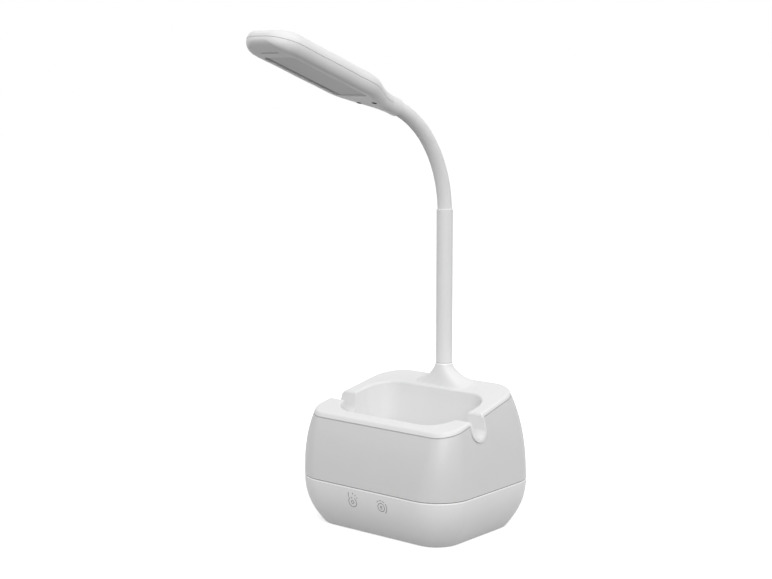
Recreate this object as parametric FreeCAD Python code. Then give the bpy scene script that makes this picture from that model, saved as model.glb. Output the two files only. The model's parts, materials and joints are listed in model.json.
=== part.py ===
"""Desk lamp on a storage base: an open tray over a translucent mood-light band,
a rigid post, a jointed flexible neck and a flat LED head.

Frame: millimetres, +Z up, X to the lamp's right seen from the front, the lamp faces -Y.
The origin is on the table, under the middle of the base.
"""
import FreeCAD, Part
import math
import os

# ---------------------------------------------------------------- driving sizes
# Housing, as half sizes from the middle of the base
seam_half_x = 70.0          # widest half width, at the seam of bowl and band
seam_half_y = 56.1
seam_corner_r = 26.7
seam_z = 34.4
foot_inset_x = 12.7         # underside of the bowl, drawn in from the seam
foot_inset_y = 12.6
foot_corner_r = 18.0
foot_z = 0.3
bowl_power = 2.24           # how late the bowl curves in towards its foot
wall_side_lean = 12.2       # how far each wall leans in over the lean height
wall_front_lean = 26.8
wall_rear_lean = 11.6
lean_height = 66.4
lean_power = 2.45
lean_bulge = 0.246
front_corner_r = 9.9        # corner radii of the band at the lean height
rear_corner_r = 21.0
shell_wall = 2.4            # bowl
band_wall = 2.2             # translucent band
floor_thickness = 2.4

# Rim: a plane that climbs towards the rear
band_height = 52.6          # seam to the parting line of band and tray, over the origin
rim_slope = 0.2147
deck_thickness = 2.6
deck_edge_r = 2.1
skirt_wall = 1.4
skirt_depth = 4.0
parting_gap = 0.2
rim_reveal = 0.4            # shadow line under the deck, into the band
seam_reveal = 0.5           # shadow line over the bowl, into the band
seam_edge_r = 0.5           # rounded upper edge of the bowl
reveal_overcut = 1.0
tongue_wall = 1.3            # band tongue inside the bowl
tongue_depth = 3.0
tongue_rise = 2.4

# Storage bin
bin_side = 19.0             # bin mouth, drawn in from the seam
bin_front = 21.6
bin_rear = 33.1
bin_corner_r = 20.0
bin_floor_rise = 6.4        # above the seam
bin_height = 58.0           # height over which the bin closes in
bin_taper = 14.0
bin_wall = 2.2
bin_edge_r = 1.6

# Phone slot across both side walls
slot_y = -12.3
slot_half = 6.2
slot_depth = 14.6           # below the rim over the origin
slot_lip = 1.9
slot_lip_proud = 0.8
lip_root = 3.0              # the lips start this far inside the bin's mouth
slot_edge_r = 2.0
slip_gap = 0.15             # between mouldings that slide into each other

# Post and its fairing
post_from_rear = 23.0       # ahead of the seam's rear
post_r = 5.9
post_length = 111.3         # shoulder on the fairing to the mouth
post_bore_r = 3.4
spigot_r = 4.5
spigot_end = 10.0           # beyond the boss
fairing_half_x = 21.0
fairing_front = 7.4
fairing_rear = 11.5
fairing_rise = 14.4         # deck to the post's shoulder
fairing_height = 15.0
fairing_side_power = 1.8    # how late each flank flares out
fairing_rear_power = 1.5
fairing_flare = 5.0         # thin foot of each flank, along the deck
fairing_flare_power = 8.0
fairing_squareness = 1.8
boss_r = 7.6
boss_length = 30.3          # from the post's shoulder down
washer_r = 6.9
washer_thickness = 1.0
nut_across_flats = 12.0
nut_height = 4.5

# Flexible neck
hose_r = 5.2
hose_bore_r = 3.6
core_r = 3.3
wire_bore_r = 1.5
neck_bend_r = 80.0          # rest bend of the neck's centre line
neck_start_drop = 3.2       # the bend starts inside the post's mouth
neck_end_angle = 71.0       # tangent from the vertical at the ferrule
hose_plug = 10.0            # hose inside the post
core_below_hose = 5.0
core_beyond_hose = 2.0
joint_count = 7
joint_first_angle = 7.0     # place of the first joint along the bend
joint_step_angle = 9.85
joint_swing = 22.0
ball_gap = 0.2
ball_height = 1.6
mouth_depth = 0.8
fit_gap = 0.1               # plugged and slid fits

# Head, along its own length from the end of the neck
ferrule_r = 6.2
ferrule_length = 11.5
ferrule_spigot_r = 4.8
ferrule_spigot_length = 13.0
ferrule_stop = 3.2          # solid length behind the hose
ferrule_chamfer = 0.5
head_half_width = 21.0
head_top = 7.4
head_bottom = 7.1
head_length = 139.7         # tip, from the end of the neck
shoulder_length = 40.0
tip_length = 17.5
tip_half_width = 4.2
tip_half_height = 1.2
top_flat = 13.0
bottom_flat = 15.0
head_wall = 1.8
head_seam_gap = 0.24
window_half = 13.0
window_start = 45.5
window_from_tip = 19.0
window_corner_r = 3.0
lens_overlap = 1.4
lens_thickness = 1.5
lens_step = 0.9             # pane below its flange
light_frame_height = 2.6
light_frame_wall = 1.6
led_board_thickness = 1.0
head_screw_x = 6.6
head_screw_at = 31.0
head_screw_hole_r = 1.9
slit_half = 7.5
slit_width = 0.9
slit_from_tip = 11.7
slit_cut_depth = 0.9
screw_seat_height = 0.6     # head screw seat above the window ledge
head_boss_wall = 1.1
head_screw_head_height = 1.3
head_shank_r = 0.95
rib_thickness = 1.4
rib_half = 10.0
rib_shares = (0.25, 0.75)   # ribs along the window

# Inside the base
mid_frame_drop = 4.0        # below the seam
mid_frame_thickness = 2.0
mid_frame_margin = 4.4
case_screw_side = 30.0      # in from the seam
case_screw_end = 29.1
case_column_r = 4.5
case_boss_height = 5.6
case_seat_z = 20.0
tray_screw_x = 28.0
tray_screw_dy = 14.0
tray_post_r = 3.2
screw_head_r = 2.6
screw_head_height = 2.0
pilot_r = 1.2
screw_clear_r = 1.7
screw_head_room = 0.4
board_screw_r = 0.9
board_screw_head_r = 1.9
board_screw_head_height = 1.2
board_screw_length = 6.0
pad_margin = 9.4            # in from the foot
pad_corner_r = 14.0
pad_thickness = 1.6
ballast_margin = 12.3       # in from the foot
ballast_front_margin = 9.5
ballast_rear_y = 14.0
ballast_thickness = 6.0
ballast_corner_r = 4.0
ballast_pillar_r = 3.0
ballast_pillar_side = 5.0   # in from the plate's end
ballast_pillar_y = 5.0
battery_r = 9.2
battery_length = 65.0
battery_y = -6.0
battery_edge_r = 0.8
battery_nub_r = 2.8
battery_nub_length = 1.8
battery_end_gap = 0.3
cradle_wall = 1.2
board_half_x = 30.0
board_length = 28.0
board_from_rear = 9.1       # ahead of the seam's rear
board_rise = 10.9           # above the inner floor
board_thickness = 1.6
board_corner_r = 2.0
standoff_r = 2.6
standoff_x = 26.0
standoff_front = 4.0        # from the board's edges
standoff_rear = 6.0
# driver chip, charge chip, two coils and the battery header:
# x, y from the board's front, width, depth, height
board_parts = ((-14.0, 12.0, 7.0, 7.0, 1.0), (6.0, 10.0, 5.0, 6.2, 1.6), (15.0, 17.0, 6.0, 6.0, 3.2),
               (-4.0, 5.0, 8.0, 5.0, 5.8), (-17.0, 22.0, 6.0, 6.0, 3.2))
socket_half_x = 4.47
socket_height = 3.26
socket_length = 7.35
socket_wall = 0.3
socket_recess = 0.2         # mouth behind the pocket floor
socket_back = 1.0
tongue_half_x = 3.4
tongue_half_z = 0.35
tongue_recess = 0.7
inlet_pocket_half_x = 6.2
inlet_pocket_half_z = 3.3
inlet_from_rear = 4.2       # ahead of the seam's rear
touch_board_from_front = 11.1
touch_board_thickness = 1.2
touch_board_height = 15.0
touch_board_drop = 1.4      # below the middle frame
touch_board_margin = 9.0    # beyond each touch pad
touch_rib_width = 4.0
touch_rib_wall = 1.6
touch_rib_drop = 6.0
touch_rib_grip = 2.2
touch_pad_r = 4.0
touch_left_x = -10.7
touch_right_x = 15.0
touch_drop = 9.4            # touch places below the seam
ring_side = 8.0             # in from the seam
ring_end = 8.1
ring_corner_r = 20.0
ring_width = 10.0
ring_thickness = 1.6
ring_pin_r = 1.3
ring_pin_rise = 0.6
ring_pin_back = 2.0         # from the start of the ring's corner
led_side = 5.0
led_height = 1.6
mood_led_pitch = 24.0
mood_led_y = 18.0
strip_leds = 9
strip_led_half_x = 1.4
strip_led_half_y = 1.75
strip_led_height = 0.7
ledge_gap = 0.05

sink = 1.0                  # how far cutting tools run past a face

# ---------------------------------------------------------------- sizes that follow
reach = seam_half_x + 20.0  # past every half size, for cutting tools
foot_half_x = seam_half_x - foot_inset_x
foot_half_y = seam_half_y - foot_inset_y
rim_mid_z = seam_z + band_height
bin_half_x = seam_half_x - bin_side
bin_front_y = seam_half_y - bin_front    # ahead of the middle
bin_rear_y = seam_half_y - bin_rear      # behind the middle
bin_floor_z = seam_z + bin_floor_rise
slot_floor_z = rim_mid_z - slot_depth
post_y = seam_half_y - post_from_rear
post_bottom_z = rim_mid_z + rim_slope * post_y + deck_thickness + fairing_rise
post_top_z = post_bottom_z + post_length
boss_bottom_z = post_bottom_z - boss_length
spigot_end_z = boss_bottom_z - spigot_end
neck_start_z = post_top_z - neck_start_drop
inner_floor_z = foot_z + floor_thickness
mid_frame_z = seam_z - mid_frame_drop
mid_frame_top_z = mid_frame_z + mid_frame_thickness
case_screw_x = seam_half_x - case_screw_side
case_screw_y = seam_half_y - case_screw_end
pad_half_x = foot_half_x - pad_margin
pad_half_y = foot_half_y - pad_margin
ballast_half_x = foot_half_x - ballast_margin
ballast_pillar_x = ballast_half_x - ballast_pillar_side
ballast_front_y = ballast_front_margin - foot_half_y
ballast_top_z = inner_floor_z + ballast_thickness
battery_z = ballast_top_z + cradle_wall + battery_r + fit_gap
board_z = inner_floor_z + board_rise
board_rear_y = seam_half_y - board_from_rear
board_front_y = board_rear_y - board_length
board_top_z = board_z + board_thickness
inlet_pocket_y = seam_half_y - inlet_from_rear
socket_z = board_top_z + socket_height / 2
socket_mouth_y = inlet_pocket_y - socket_recess
touch_board_y = touch_board_from_front - seam_half_y
touch_board_top_z = mid_frame_z - touch_board_drop
touch_board_bottom_z = touch_board_top_z - touch_board_height
touch_board_x0 = touch_left_x - touch_board_margin
touch_board_x1 = touch_right_x + touch_board_margin
touch_z = seam_z - touch_drop
ring_half_x = seam_half_x - ring_side
ring_half_y = seam_half_y - ring_end
ring_top_z = mid_frame_top_z + ring_thickness
lens_z = -head_bottom + head_wall
led_board_z = lens_z + lens_thickness + light_frame_height
led_board_top = led_board_z + led_board_thickness
head_screw_seat = lens_z + screw_seat_height
hose_in_ferrule = ferrule_length - ferrule_stop
tip_start = head_length - tip_length
window_end = head_length - window_from_tip
slit_at = head_length - slit_from_tip
PIECES = {}


# ---------------------------------------------------------------- helpers
def vec(x, y, z):
    return FreeCAD.Vector(x, y, z)


def rounded_outline(half_x, front, rear, r_front, r_rear, z):
    """Closed rounded rectangle at height z; front and rear are distances from y = 0."""
    corners = ((half_x, -front, r_front, -90), (half_x, rear, r_rear, 0),
               (-half_x, rear, r_rear, 90), (-half_x, -front, r_front, 180))
    arcs = []
    for x, y, r, start in corners:
        cx = x - math.copysign(r, x)
        cy = y - r if start in (0, 90) else y + r
        points = [vec(cx + r * math.cos(math.radians(start + turn)),
                      cy + r * math.sin(math.radians(start + turn)), z) for turn in (0, 45, 90)]
        arcs.append(points)
    edges = []
    for index, points in enumerate(arcs):
        edges.append(Part.LineSegment(arcs[index - 1][2], points[0]).toShape())
        edges.append(Part.Arc(*points).toShape())
    return Part.Wire(edges)


def loft(wires):
    return Part.makeLoft(wires, True, False)


def prism(wire, height):
    return Part.Face(wire).extrude(vec(0, 0, height))


def box(x0, x1, y0, y1, z0, z1):
    return Part.makeBox(x1 - x0, y1 - y0, z1 - z0, vec(x0, y0, z0))


def cylinder(r, x, y, z0, z1):
    return Part.makeCylinder(r, z1 - z0, vec(x, y, z0), vec(0, 0, 1))


def fuse(first, *others):
    return first.fuse(list(others)).removeSplitter()


def four_ways(x, y):
    return [(sx * x, sy * y) for sx in (-1, 1) for sy in (-1, 1)]


def upright_edges(shape):
    return [edge for edge in shape.Edges if abs(edge.tangentAt(edge.FirstParameter).z) > 0.9]


case_places = four_ways(case_screw_x, case_screw_y)
standoff_places = [(sx * standoff_x, y) for sx in (-1, 1)
                    for y in (board_front_y + standoff_front, board_rear_y - standoff_rear)]
pillar_places = [(sx * ballast_pillar_x, ballast_pillar_y) for sx in (-1, 1)]
ring_pins = four_ways(ring_half_x - ring_width / 2, ring_half_y - ring_corner_r - ring_pin_back)
bin_mid_y = (bin_rear_y - bin_front_y) / 2
tray_screw_places = [(x, y + bin_mid_y) for x, y in four_ways(tray_screw_x, tray_screw_dy)]
head_boss_places = [(sx * head_screw_x, head_screw_at) for sx in (-1, 1)]


# ---------------------------------------------------------------- housing forms
def bowl_outline(z, inset):
    """The bowl's outline at height z, between its foot and the seam."""
    share = 1 - (1 - (z - foot_z) / (seam_z - foot_z)) ** bowl_power
    half_x = foot_half_x + (seam_half_x - foot_half_x) * share - inset
    half_y = foot_half_y + (seam_half_y - foot_half_y) * share - inset
    r = foot_corner_r + (seam_corner_r - foot_corner_r) * share - inset
    return rounded_outline(half_x, half_y, half_y, r, r, z)


def bowl_solid(z0, inset, levels=7):
    return loft([bowl_outline(z0 + (seam_z - z0) * k / (levels - 1), inset) for k in range(levels)])


def band_outline(z, inset):
    """The band's outline at height z: upright at the seam, leaning in above it."""
    rise = (z - seam_z) / lean_height
    lean = rise ** lean_power + lean_bulge * rise * (1 - rise)
    return rounded_outline(seam_half_x - wall_side_lean * lean - inset,
                           seam_half_y - wall_front_lean * lean - inset,
                           seam_half_y - wall_rear_lean * lean - inset,
                           seam_corner_r + (front_corner_r - seam_corner_r) * rise - inset,
                           seam_corner_r + (rear_corner_r - seam_corner_r) * rise - inset, z)


def rim_height(y):
    return rim_mid_z + rim_slope * y


def band_solid(inset, levels=8):
    top = rim_height(seam_half_y) + deck_thickness + 1.0
    return loft([band_outline(seam_z + (top - seam_z) * k / (levels - 1), inset) for k in range(levels)])


def below_rim(offset):
    """Everything under the rim plane moved up by offset."""
    points = [vec(-reach, -reach, -reach), vec(-reach, reach, -reach),
              vec(-reach, reach, rim_height(reach) + offset),
              vec(-reach, -reach, rim_height(-reach) + offset)]
    face = Part.Face(Part.makePolygon(points + points[:1]))
    return face.extrude(vec(2 * reach, 0, 0))


def bin_section(rise, offset):
    """The bin at a share of its height; offset makes it larger for the outside."""
    inset = bin_taper * (1 - (1 - (1 - rise) ** 3) ** 0.625) if rise < 1 else 0.0
    z = bin_floor_z + bin_height * rise - offset * max(0.0, 1 - rise)
    half_x = bin_half_x - inset + offset
    r = bin_corner_r - inset + offset
    return rounded_outline(half_x, bin_front_y - inset + offset, bin_rear_y - inset + offset, r, r, z)


def bin_solid(offset):
    return loft([bin_section(rise, offset) for rise in (0, 0.03, 0.08, 0.16, 0.3, 0.5, 0.75, 1.0, 1.15)])


def slot_profile(half, bottom, x0, x1, flare):
    """A U-shaped bar along X; flare rounds its mouth over at the deck."""
    z_mid = bottom + half
    top = rim_height(reach) + deck_thickness
    front_z = rim_height(slot_y - half) + deck_thickness
    rear_z = rim_height(slot_y + half) + deck_thickness
    rear = [vec(x0, slot_y + half, z_mid)]
    front = [vec(x0, slot_y - half, z_mid)]
    edges = [Part.Arc(front[0], vec(x0, slot_y, bottom), rear[0]).toShape()]
    for side, points, z in ((1, rear, rear_z), (-1, front, front_z)):
        y = slot_y + side * half
        if flare:
            turn = flare * (1 - math.sqrt(0.5))
            rise = side * rim_slope * flare
            points += [vec(x0, y, z - flare), vec(x0, y + side * turn, z + rise - turn),
                       vec(x0, y + side * flare, z + rise), vec(x0, y + side * flare, top)]
            edges += [Part.LineSegment(points[0], points[1]).toShape(),
                      Part.Arc(points[1], points[2], points[3]).toShape(),
                      Part.LineSegment(points[3], points[4]).toShape()]
        else:
            points += [vec(x0, y, top)]
            edges += [Part.LineSegment(points[0], points[1]).toShape()]
    edges.append(Part.LineSegment(rear[-1], front[-1]).toShape())
    wire = Part.Wire(Part.__sortEdges__(edges))
    return Part.Face(wire).extrude(vec(x1 - x0, 0, 0))


def fairing_ring(half_x, front, rear, z, tilt, power):
    """Four conic quarters in a tilted plane; a power of 2 is an ellipse and more is squarer."""
    middle = 0.5 ** (1 / power)
    weight = (2 * middle - 1) / (2 - 2 * middle)
    corners = (((half_x, 0), (half_x, rear), (0, rear)), ((0, rear), (-half_x, rear), (-half_x, 0)),
               ((-half_x, 0), (-half_x, -front), (0, -front)), ((0, -front), (half_x, -front), (half_x, 0)))
    quarters = []
    for poles in corners:
        curve = Part.BezierCurve()
        curve.setPoles([vec(x, post_y + y, z + tilt * y) for x, y in poles])
        curve.setWeight(2, weight)
        quarters.append(curve.toShape())
    return Part.Wire(quarters)


def fairing_solid():
    """The concave fairing at the post's foot, from a circle to a rounded rectangle in the deck."""
    rings = []
    for share in (0, 0.2, 0.4, 0.6, 0.75, 0.88, 1.0):
        half_x = post_r + slip_gap + (fairing_half_x - post_r) * share ** fairing_side_power
        half_x += fairing_flare * share ** fairing_flare_power
        front = post_r + slip_gap + (fairing_front - post_r) * share
        rear = post_r + slip_gap + (fairing_rear - post_r) * share ** fairing_rear_power
        rings.append(fairing_ring(half_x, front, rear, post_bottom_z - fairing_height * share,
                                  rim_slope * share, 2.0 + fairing_squareness * share))
    return loft(rings)


# ---------------------------------------------------------------- neck forms
def neck_point(angle):
    """A point of the neck's bend, by its tangent's angle from the vertical."""
    a = math.radians(angle)
    return vec(0, post_y - neck_bend_r * (1 - math.cos(a)), neck_start_z + neck_bend_r * math.sin(a))


def neck_tangent(angle):
    a = math.radians(angle)
    return vec(0, -math.sin(a), math.cos(a))


def bend_tube(angle0, angle1, r):
    """A solid round bar along the neck's bend."""
    centre = vec(0, post_y - neck_bend_r, neck_start_z)
    circle = Part.Circle(neck_point(angle0), neck_tangent(angle0), r)
    return Part.Face(Part.Wire(circle.toShape())).revolve(centre, vec(1, 0, 0), angle1 - angle0)


def joint_angle(number):
    return joint_first_angle + joint_step_angle * (number - 1)


def ball_end(angle, r, height):
    """The domed end of a neck link, round the joint's centre."""
    top = math.degrees(math.asin(height / r))
    return Part.makeSphere(r, neck_point(angle), neck_tangent(angle), 0, top, 360)


def cup_cut(angle, r):
    return Part.makeSphere(r + ball_gap, neck_point(angle))


def mouth_cut(angle, height):
    """The flared mouth that lets the next link's core swing."""
    low = neck_point(angle) - neck_tangent(angle) * mouth_depth
    swing = math.radians(joint_swing)
    edge = (height + core_r * math.sin(swing)) / math.cos(swing)
    mouth_r = core_r * math.cos(swing) + edge * math.sin(swing) + ball_gap
    return Part.makeCone(core_r - ball_gap, mouth_r, height + mouth_depth, low, neck_tangent(angle))


# ---------------------------------------------------------------- head forms
def head_place(shape):
    """Moves a piece from head axes (Y along the head, Z up through it) to its place."""
    shape = shape.copy()
    shape.rotate(vec(0, 0, 0), vec(0, 0, 1), 180)
    shape.rotate(vec(0, 0, 0), vec(1, 0, 0), neck_end_angle - 90)
    shape.translate(neck_point(neck_end_angle))
    return shape


def head_section(at, half_width, top, bottom, flat_share):
    """A head section: flat top and bottom between four quarter ellipses."""
    t = max(0.25, top_flat * flat_share)
    b = max(0.25, bottom_flat * flat_share)
    corners = (((half_width, 0), (half_width, -bottom), (b, -bottom)),
               ((-b, -bottom), (-half_width, -bottom), (-half_width, 0)),
               ((-half_width, 0), (-half_width, top), (-t, top)),
               ((t, top), (half_width, top), (half_width, 0)))
    quarters = []
    for poles in corners:
        curve = Part.BezierCurve()
        curve.setPoles([vec(x, at, z) for x, z in poles])
        curve.setWeight(2, math.sqrt(0.5))
        quarters.append(curve.toShape())
    low = Part.LineSegment(vec(b, at, -bottom), vec(-b, at, -bottom)).toShape()
    high = Part.LineSegment(vec(-t, at, top), vec(t, at, top)).toShape()
    return Part.Wire([quarters[0], low, quarters[1], quarters[2], high, quarters[3]])


def head_solid(inset, start):
    """The head's form, drawn in by inset, from start to the tip."""
    stations = []
    start_r = ferrule_r + slip_gap
    for k in range(7):
        share = k / 6
        grow = share * share * (3 - 2 * share)
        half_width = start_r + (head_half_width - start_r) * grow
        swell = 1 - (1 - share) ** 3
        top = start_r + (head_top - start_r) * grow
        bottom = start_r + (head_bottom - start_r) * swell
        at = start if k == 0 else ferrule_length + shoulder_length * share
        stations.append((at, half_width, top, bottom, grow))
    body_start = ferrule_length + shoulder_length
    for k in range(1, 4):
        stations.append((body_start + (tip_start - body_start) * k / 3.5, head_half_width,
                         head_top, head_bottom, 1.0))
    for k in range(8):
        turn = math.pi / 2 * k / 7
        fade = math.cos(turn)
        width = tip_half_width + (head_half_width - tip_half_width) * fade
        stations.append((tip_start + (tip_length - inset) * math.sin(turn), width,
                         tip_half_height + (head_top - tip_half_height) * fade,
                         tip_half_height + (head_bottom - tip_half_height) * fade,
                         width / head_half_width))
    wires = []
    for at, half_width, top, bottom, flat in stations:
        wires.append(head_section(at, max(half_width - inset, 0.8), max(top - inset, 0.4),
                                  max(bottom - inset, 0.4), flat))
    return loft(wires)


def flat_plate(half_x, y0, y1, r, z0, z1):
    """A plate with rounded corners in head axes."""
    middle = (y0 + y1) / 2
    plate = prism(rounded_outline(half_x, (y1 - y0) / 2, (y1 - y0) / 2, r, r, z0), z1 - z0)
    plate.translate(vec(0, middle, 0))
    return plate


# ---------------------------------------------------------------- base pieces
def stadium_bar(half_x, half_z, z, y0, y1):
    """A bar along Y with round ends, for the charging inlet."""
    flat = max(half_x - half_z, 0.1)
    middle = box(-flat, flat, y0, y1, z - half_z, z + half_z)
    ends = [Part.makeCylinder(half_z, y1 - y0, vec(s * flat, y0, z), vec(0, 1, 0)) for s in (-1, 1)]
    return fuse(middle, *ends)


def base_bowl():
    """The lower shell with its screw columns, standoffs and board ribs."""
    outer = bowl_solid(foot_z, 0)
    seam_edges = [edge for edge in outer.Edges if edge.BoundBox.ZMin > seam_z - sink]
    outer = outer.makeFillet(seam_edge_r, seam_edges)
    inside = [cylinder(case_column_r, x, y, foot_z, mid_frame_z) for x, y in case_places]
    inside += [cylinder(standoff_r, x, y, foot_z, board_z) for x, y in standoff_places]
    inside += [cylinder(ballast_pillar_r, x, y, foot_z, ballast_top_z - fit_gap) for x, y in pillar_places]
    rib_front = touch_board_y - touch_rib_wall
    rib_rear = touch_board_y + touch_board_thickness + touch_rib_wall
    for x in (touch_board_x0 + touch_rib_grip - touch_rib_width, touch_board_x1 - touch_rib_grip):
        inside.append(box(x, x + touch_rib_width, rib_front, rib_rear, foot_z,
                          touch_board_top_z - touch_rib_drop))
    shell = fuse(outer.cut(bowl_solid(inner_floor_z, shell_wall)),
                 *[piece.common(outer) for piece in inside])
    cuts = [touch_board_blank(fit_gap), inlet_cut(), pad_plate(0)]
    for x, y in case_places:
        cuts.append(cylinder(screw_head_r + screw_head_room, x, y, 0.0, case_seat_z))
        cuts.append(cylinder(screw_clear_r, x, y, 0.0, mid_frame_z + sink))
    cuts += [cylinder(board_screw_r, x, y, inner_floor_z + sink, board_z + sink) for x, y in standoff_places]
    cuts += [cylinder(pilot_r, x, y, inner_floor_z, ballast_top_z + sink) for x, y in pillar_places]
    return shell.cut(cuts)


def pad_plate(gap):
    outline = rounded_outline(pad_half_x - gap, pad_half_y - gap, pad_half_y - gap,
                              pad_corner_r, pad_corner_r, 0.0)
    return prism(outline, pad_thickness)


def inlet_cut():
    pocket = stadium_bar(inlet_pocket_half_x, inlet_pocket_half_z, socket_z, inlet_pocket_y, reach)
    hole = stadium_bar(socket_half_x + slip_gap, socket_height / 2 + slip_gap, socket_z,
                       socket_mouth_y - shell_wall - sink, inlet_pocket_y + sink)
    return fuse(pocket, hole)


def grip_pad():
    """The rubber sheet that the lamp stands on; it covers the case screws."""
    return pad_plate(fit_gap)


def screw(x, y, head_z, head_height, head_r, shank_r, length, up=1):
    """A pan screw: its head lies under head_z and its shank runs up, or the other way with up = -1."""
    head = cylinder(head_r, x, y, head_z - head_height, head_z)
    shank = cylinder(shank_r, x, y, head_z - 0.2, head_z + length)
    piece = fuse(head, shank)
    if up < 0:
        piece = piece.mirror(vec(x, y, head_z), vec(0, 0, 1))
    return piece


def case_screws():
    length = mid_frame_top_z + case_boss_height - sink - case_seat_z
    return Part.Compound([screw(x, y, case_seat_z, screw_head_height, screw_head_r, pilot_r, length)
                          for x, y in case_places])


def ballast_plate():
    plate = box(-ballast_half_x, ballast_half_x, ballast_front_y, ballast_rear_y,
                inner_floor_z, ballast_top_z)
    plate = plate.makeFillet(ballast_corner_r, upright_edges(plate))
    cuts = [cylinder(case_column_r + fit_gap, x, y, 0, reach) for x, y in case_places]
    cuts += [cylinder(ballast_pillar_r + fit_gap, x, y, 0, reach) for x, y in pillar_places]
    return plate.cut(cuts)


def ballast_screws():
    return Part.Compound([screw(x, y, ballast_top_z, screw_head_height, ballast_pillar_r + sink,
                                pilot_r, ballast_thickness - sink, up=-1) for x, y in pillar_places])


def battery_cell():
    half = battery_length / 2
    can = Part.makeCylinder(battery_r, battery_length - battery_edge_r, vec(-half, battery_y, battery_z),
                            vec(1, 0, 0))
    can = can.makeFillet(battery_edge_r, can.Edges)
    nub = Part.makeCylinder(battery_nub_r, battery_nub_length,
                            vec(half - battery_nub_length, battery_y, battery_z), vec(1, 0, 0))
    return fuse(can, nub)


def battery_cradle():
    half_bore = battery_length / 2 + battery_end_gap
    half_x = half_bore + cradle_wall
    half_y = battery_r + fit_gap + cradle_wall
    block = box(-half_x, half_x, battery_y - half_y, battery_y + half_y, ballast_top_z, battery_z)
    bore = Part.makeCylinder(battery_r + fit_gap, 2 * half_bore, vec(-half_bore, battery_y, battery_z),
                             vec(1, 0, 0))
    return block.cut(bore)


def main_board():
    board = box(-board_half_x, board_half_x, board_front_y, board_rear_y, board_z, board_top_z)
    board = board.makeFillet(board_corner_r, upright_edges(board))
    return board.cut([cylinder(board_screw_r + slip_gap, x, y, 0, reach) for x, y in standoff_places])


def board_components():
    chips = []
    for x, from_front, width, depth, height in board_parts:
        y = board_front_y + from_front
        chips.append(box(x - width / 2, x + width / 2, y - depth / 2, y + depth / 2,
                         board_top_z, board_top_z + height))
    return Part.Compound(chips)


def board_screws():
    return Part.Compound([screw(x, y, board_top_z, board_screw_head_height, board_screw_head_r,
                                board_screw_r, board_screw_length, up=-1) for x, y in standoff_places])


def usb_socket():
    """The charging inlet: an oval metal shell with its contact tongue."""
    y0 = socket_mouth_y - socket_length
    shell = stadium_bar(socket_half_x, socket_height / 2, socket_z, y0, socket_mouth_y)
    cavity = stadium_bar(socket_half_x - socket_wall, socket_height / 2 - socket_wall, socket_z,
                         y0 + socket_back, socket_mouth_y + sink)
    tongue = box(-tongue_half_x, tongue_half_x, y0 + socket_back / 2, socket_mouth_y - tongue_recess,
                 socket_z - tongue_half_z, socket_z + tongue_half_z)
    return fuse(shell.cut(cavity), tongue)


def touch_board_blank(gap):
    return box(touch_board_x0 - gap, touch_board_x1 + gap, touch_board_y - gap,
               touch_board_y + touch_board_thickness + gap, touch_board_bottom_z - gap,
               touch_board_top_z + gap)


def touch_pad(x):
    """A conductive foam plug from the touch board to the inside of the front wall."""
    plug = Part.makeCylinder(touch_pad_r, reach, vec(x, touch_board_y, touch_z), vec(0, -1, 0))
    return plug.common(bowl_solid(inner_floor_z, shell_wall + ledge_gap))


def mid_frame():
    """The plate that closes the bowl and carries the mood light and the tray."""
    plate = prism(bowl_outline(seam_z, mid_frame_margin), mid_frame_thickness)
    plate.translate(vec(0, 0, mid_frame_z - seam_z))
    boss_top = mid_frame_top_z + case_boss_height
    bosses = [cylinder(case_column_r - sink, x, y, mid_frame_z, boss_top) for x, y in case_places]
    pins = [cylinder(ring_pin_r, x, y, mid_frame_z, ring_top_z + ring_pin_rise) for x, y in ring_pins]
    plate = fuse(plate, *bosses, *pins)
    cuts = [cylinder(pilot_r, x, y, mid_frame_z - sink, boss_top - sink / 2) for x, y in case_places]
    cuts += [cylinder(screw_clear_r, x, y, 0, reach) for x, y in tray_screw_places]
    cuts.append(cylinder(spigot_r, 0, post_y, 0, reach))
    return plate.cut(cuts)


def ring_outline(inset, z):
    return rounded_outline(ring_half_x - inset, ring_half_y - inset, ring_half_y - inset,
                           ring_corner_r - inset, ring_corner_r - inset, z)


def mood_ring():
    """The ring-shaped circuit board of the mood light."""
    ring = prism(ring_outline(0, mid_frame_top_z), ring_thickness)
    ring = ring.cut(prism(ring_outline(ring_width, mid_frame_top_z), ring_thickness))
    return ring.cut([cylinder(ring_pin_r + fit_gap, x, y, 0, reach) for x, y in ring_pins])


def mood_leds():
    mid_x = ring_half_x - ring_width / 2
    mid_y = ring_half_y - ring_width / 2
    places = four_ways(mood_led_pitch * 1.5, mid_y) + four_ways(mood_led_pitch / 2, mid_y)
    places += four_ways(mid_x, mood_led_y)
    half = led_side / 2
    return Part.Compound([box(x - half, x + half, y - half, y + half, ring_top_z, ring_top_z + led_height)
                          for x, y in places])


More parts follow.
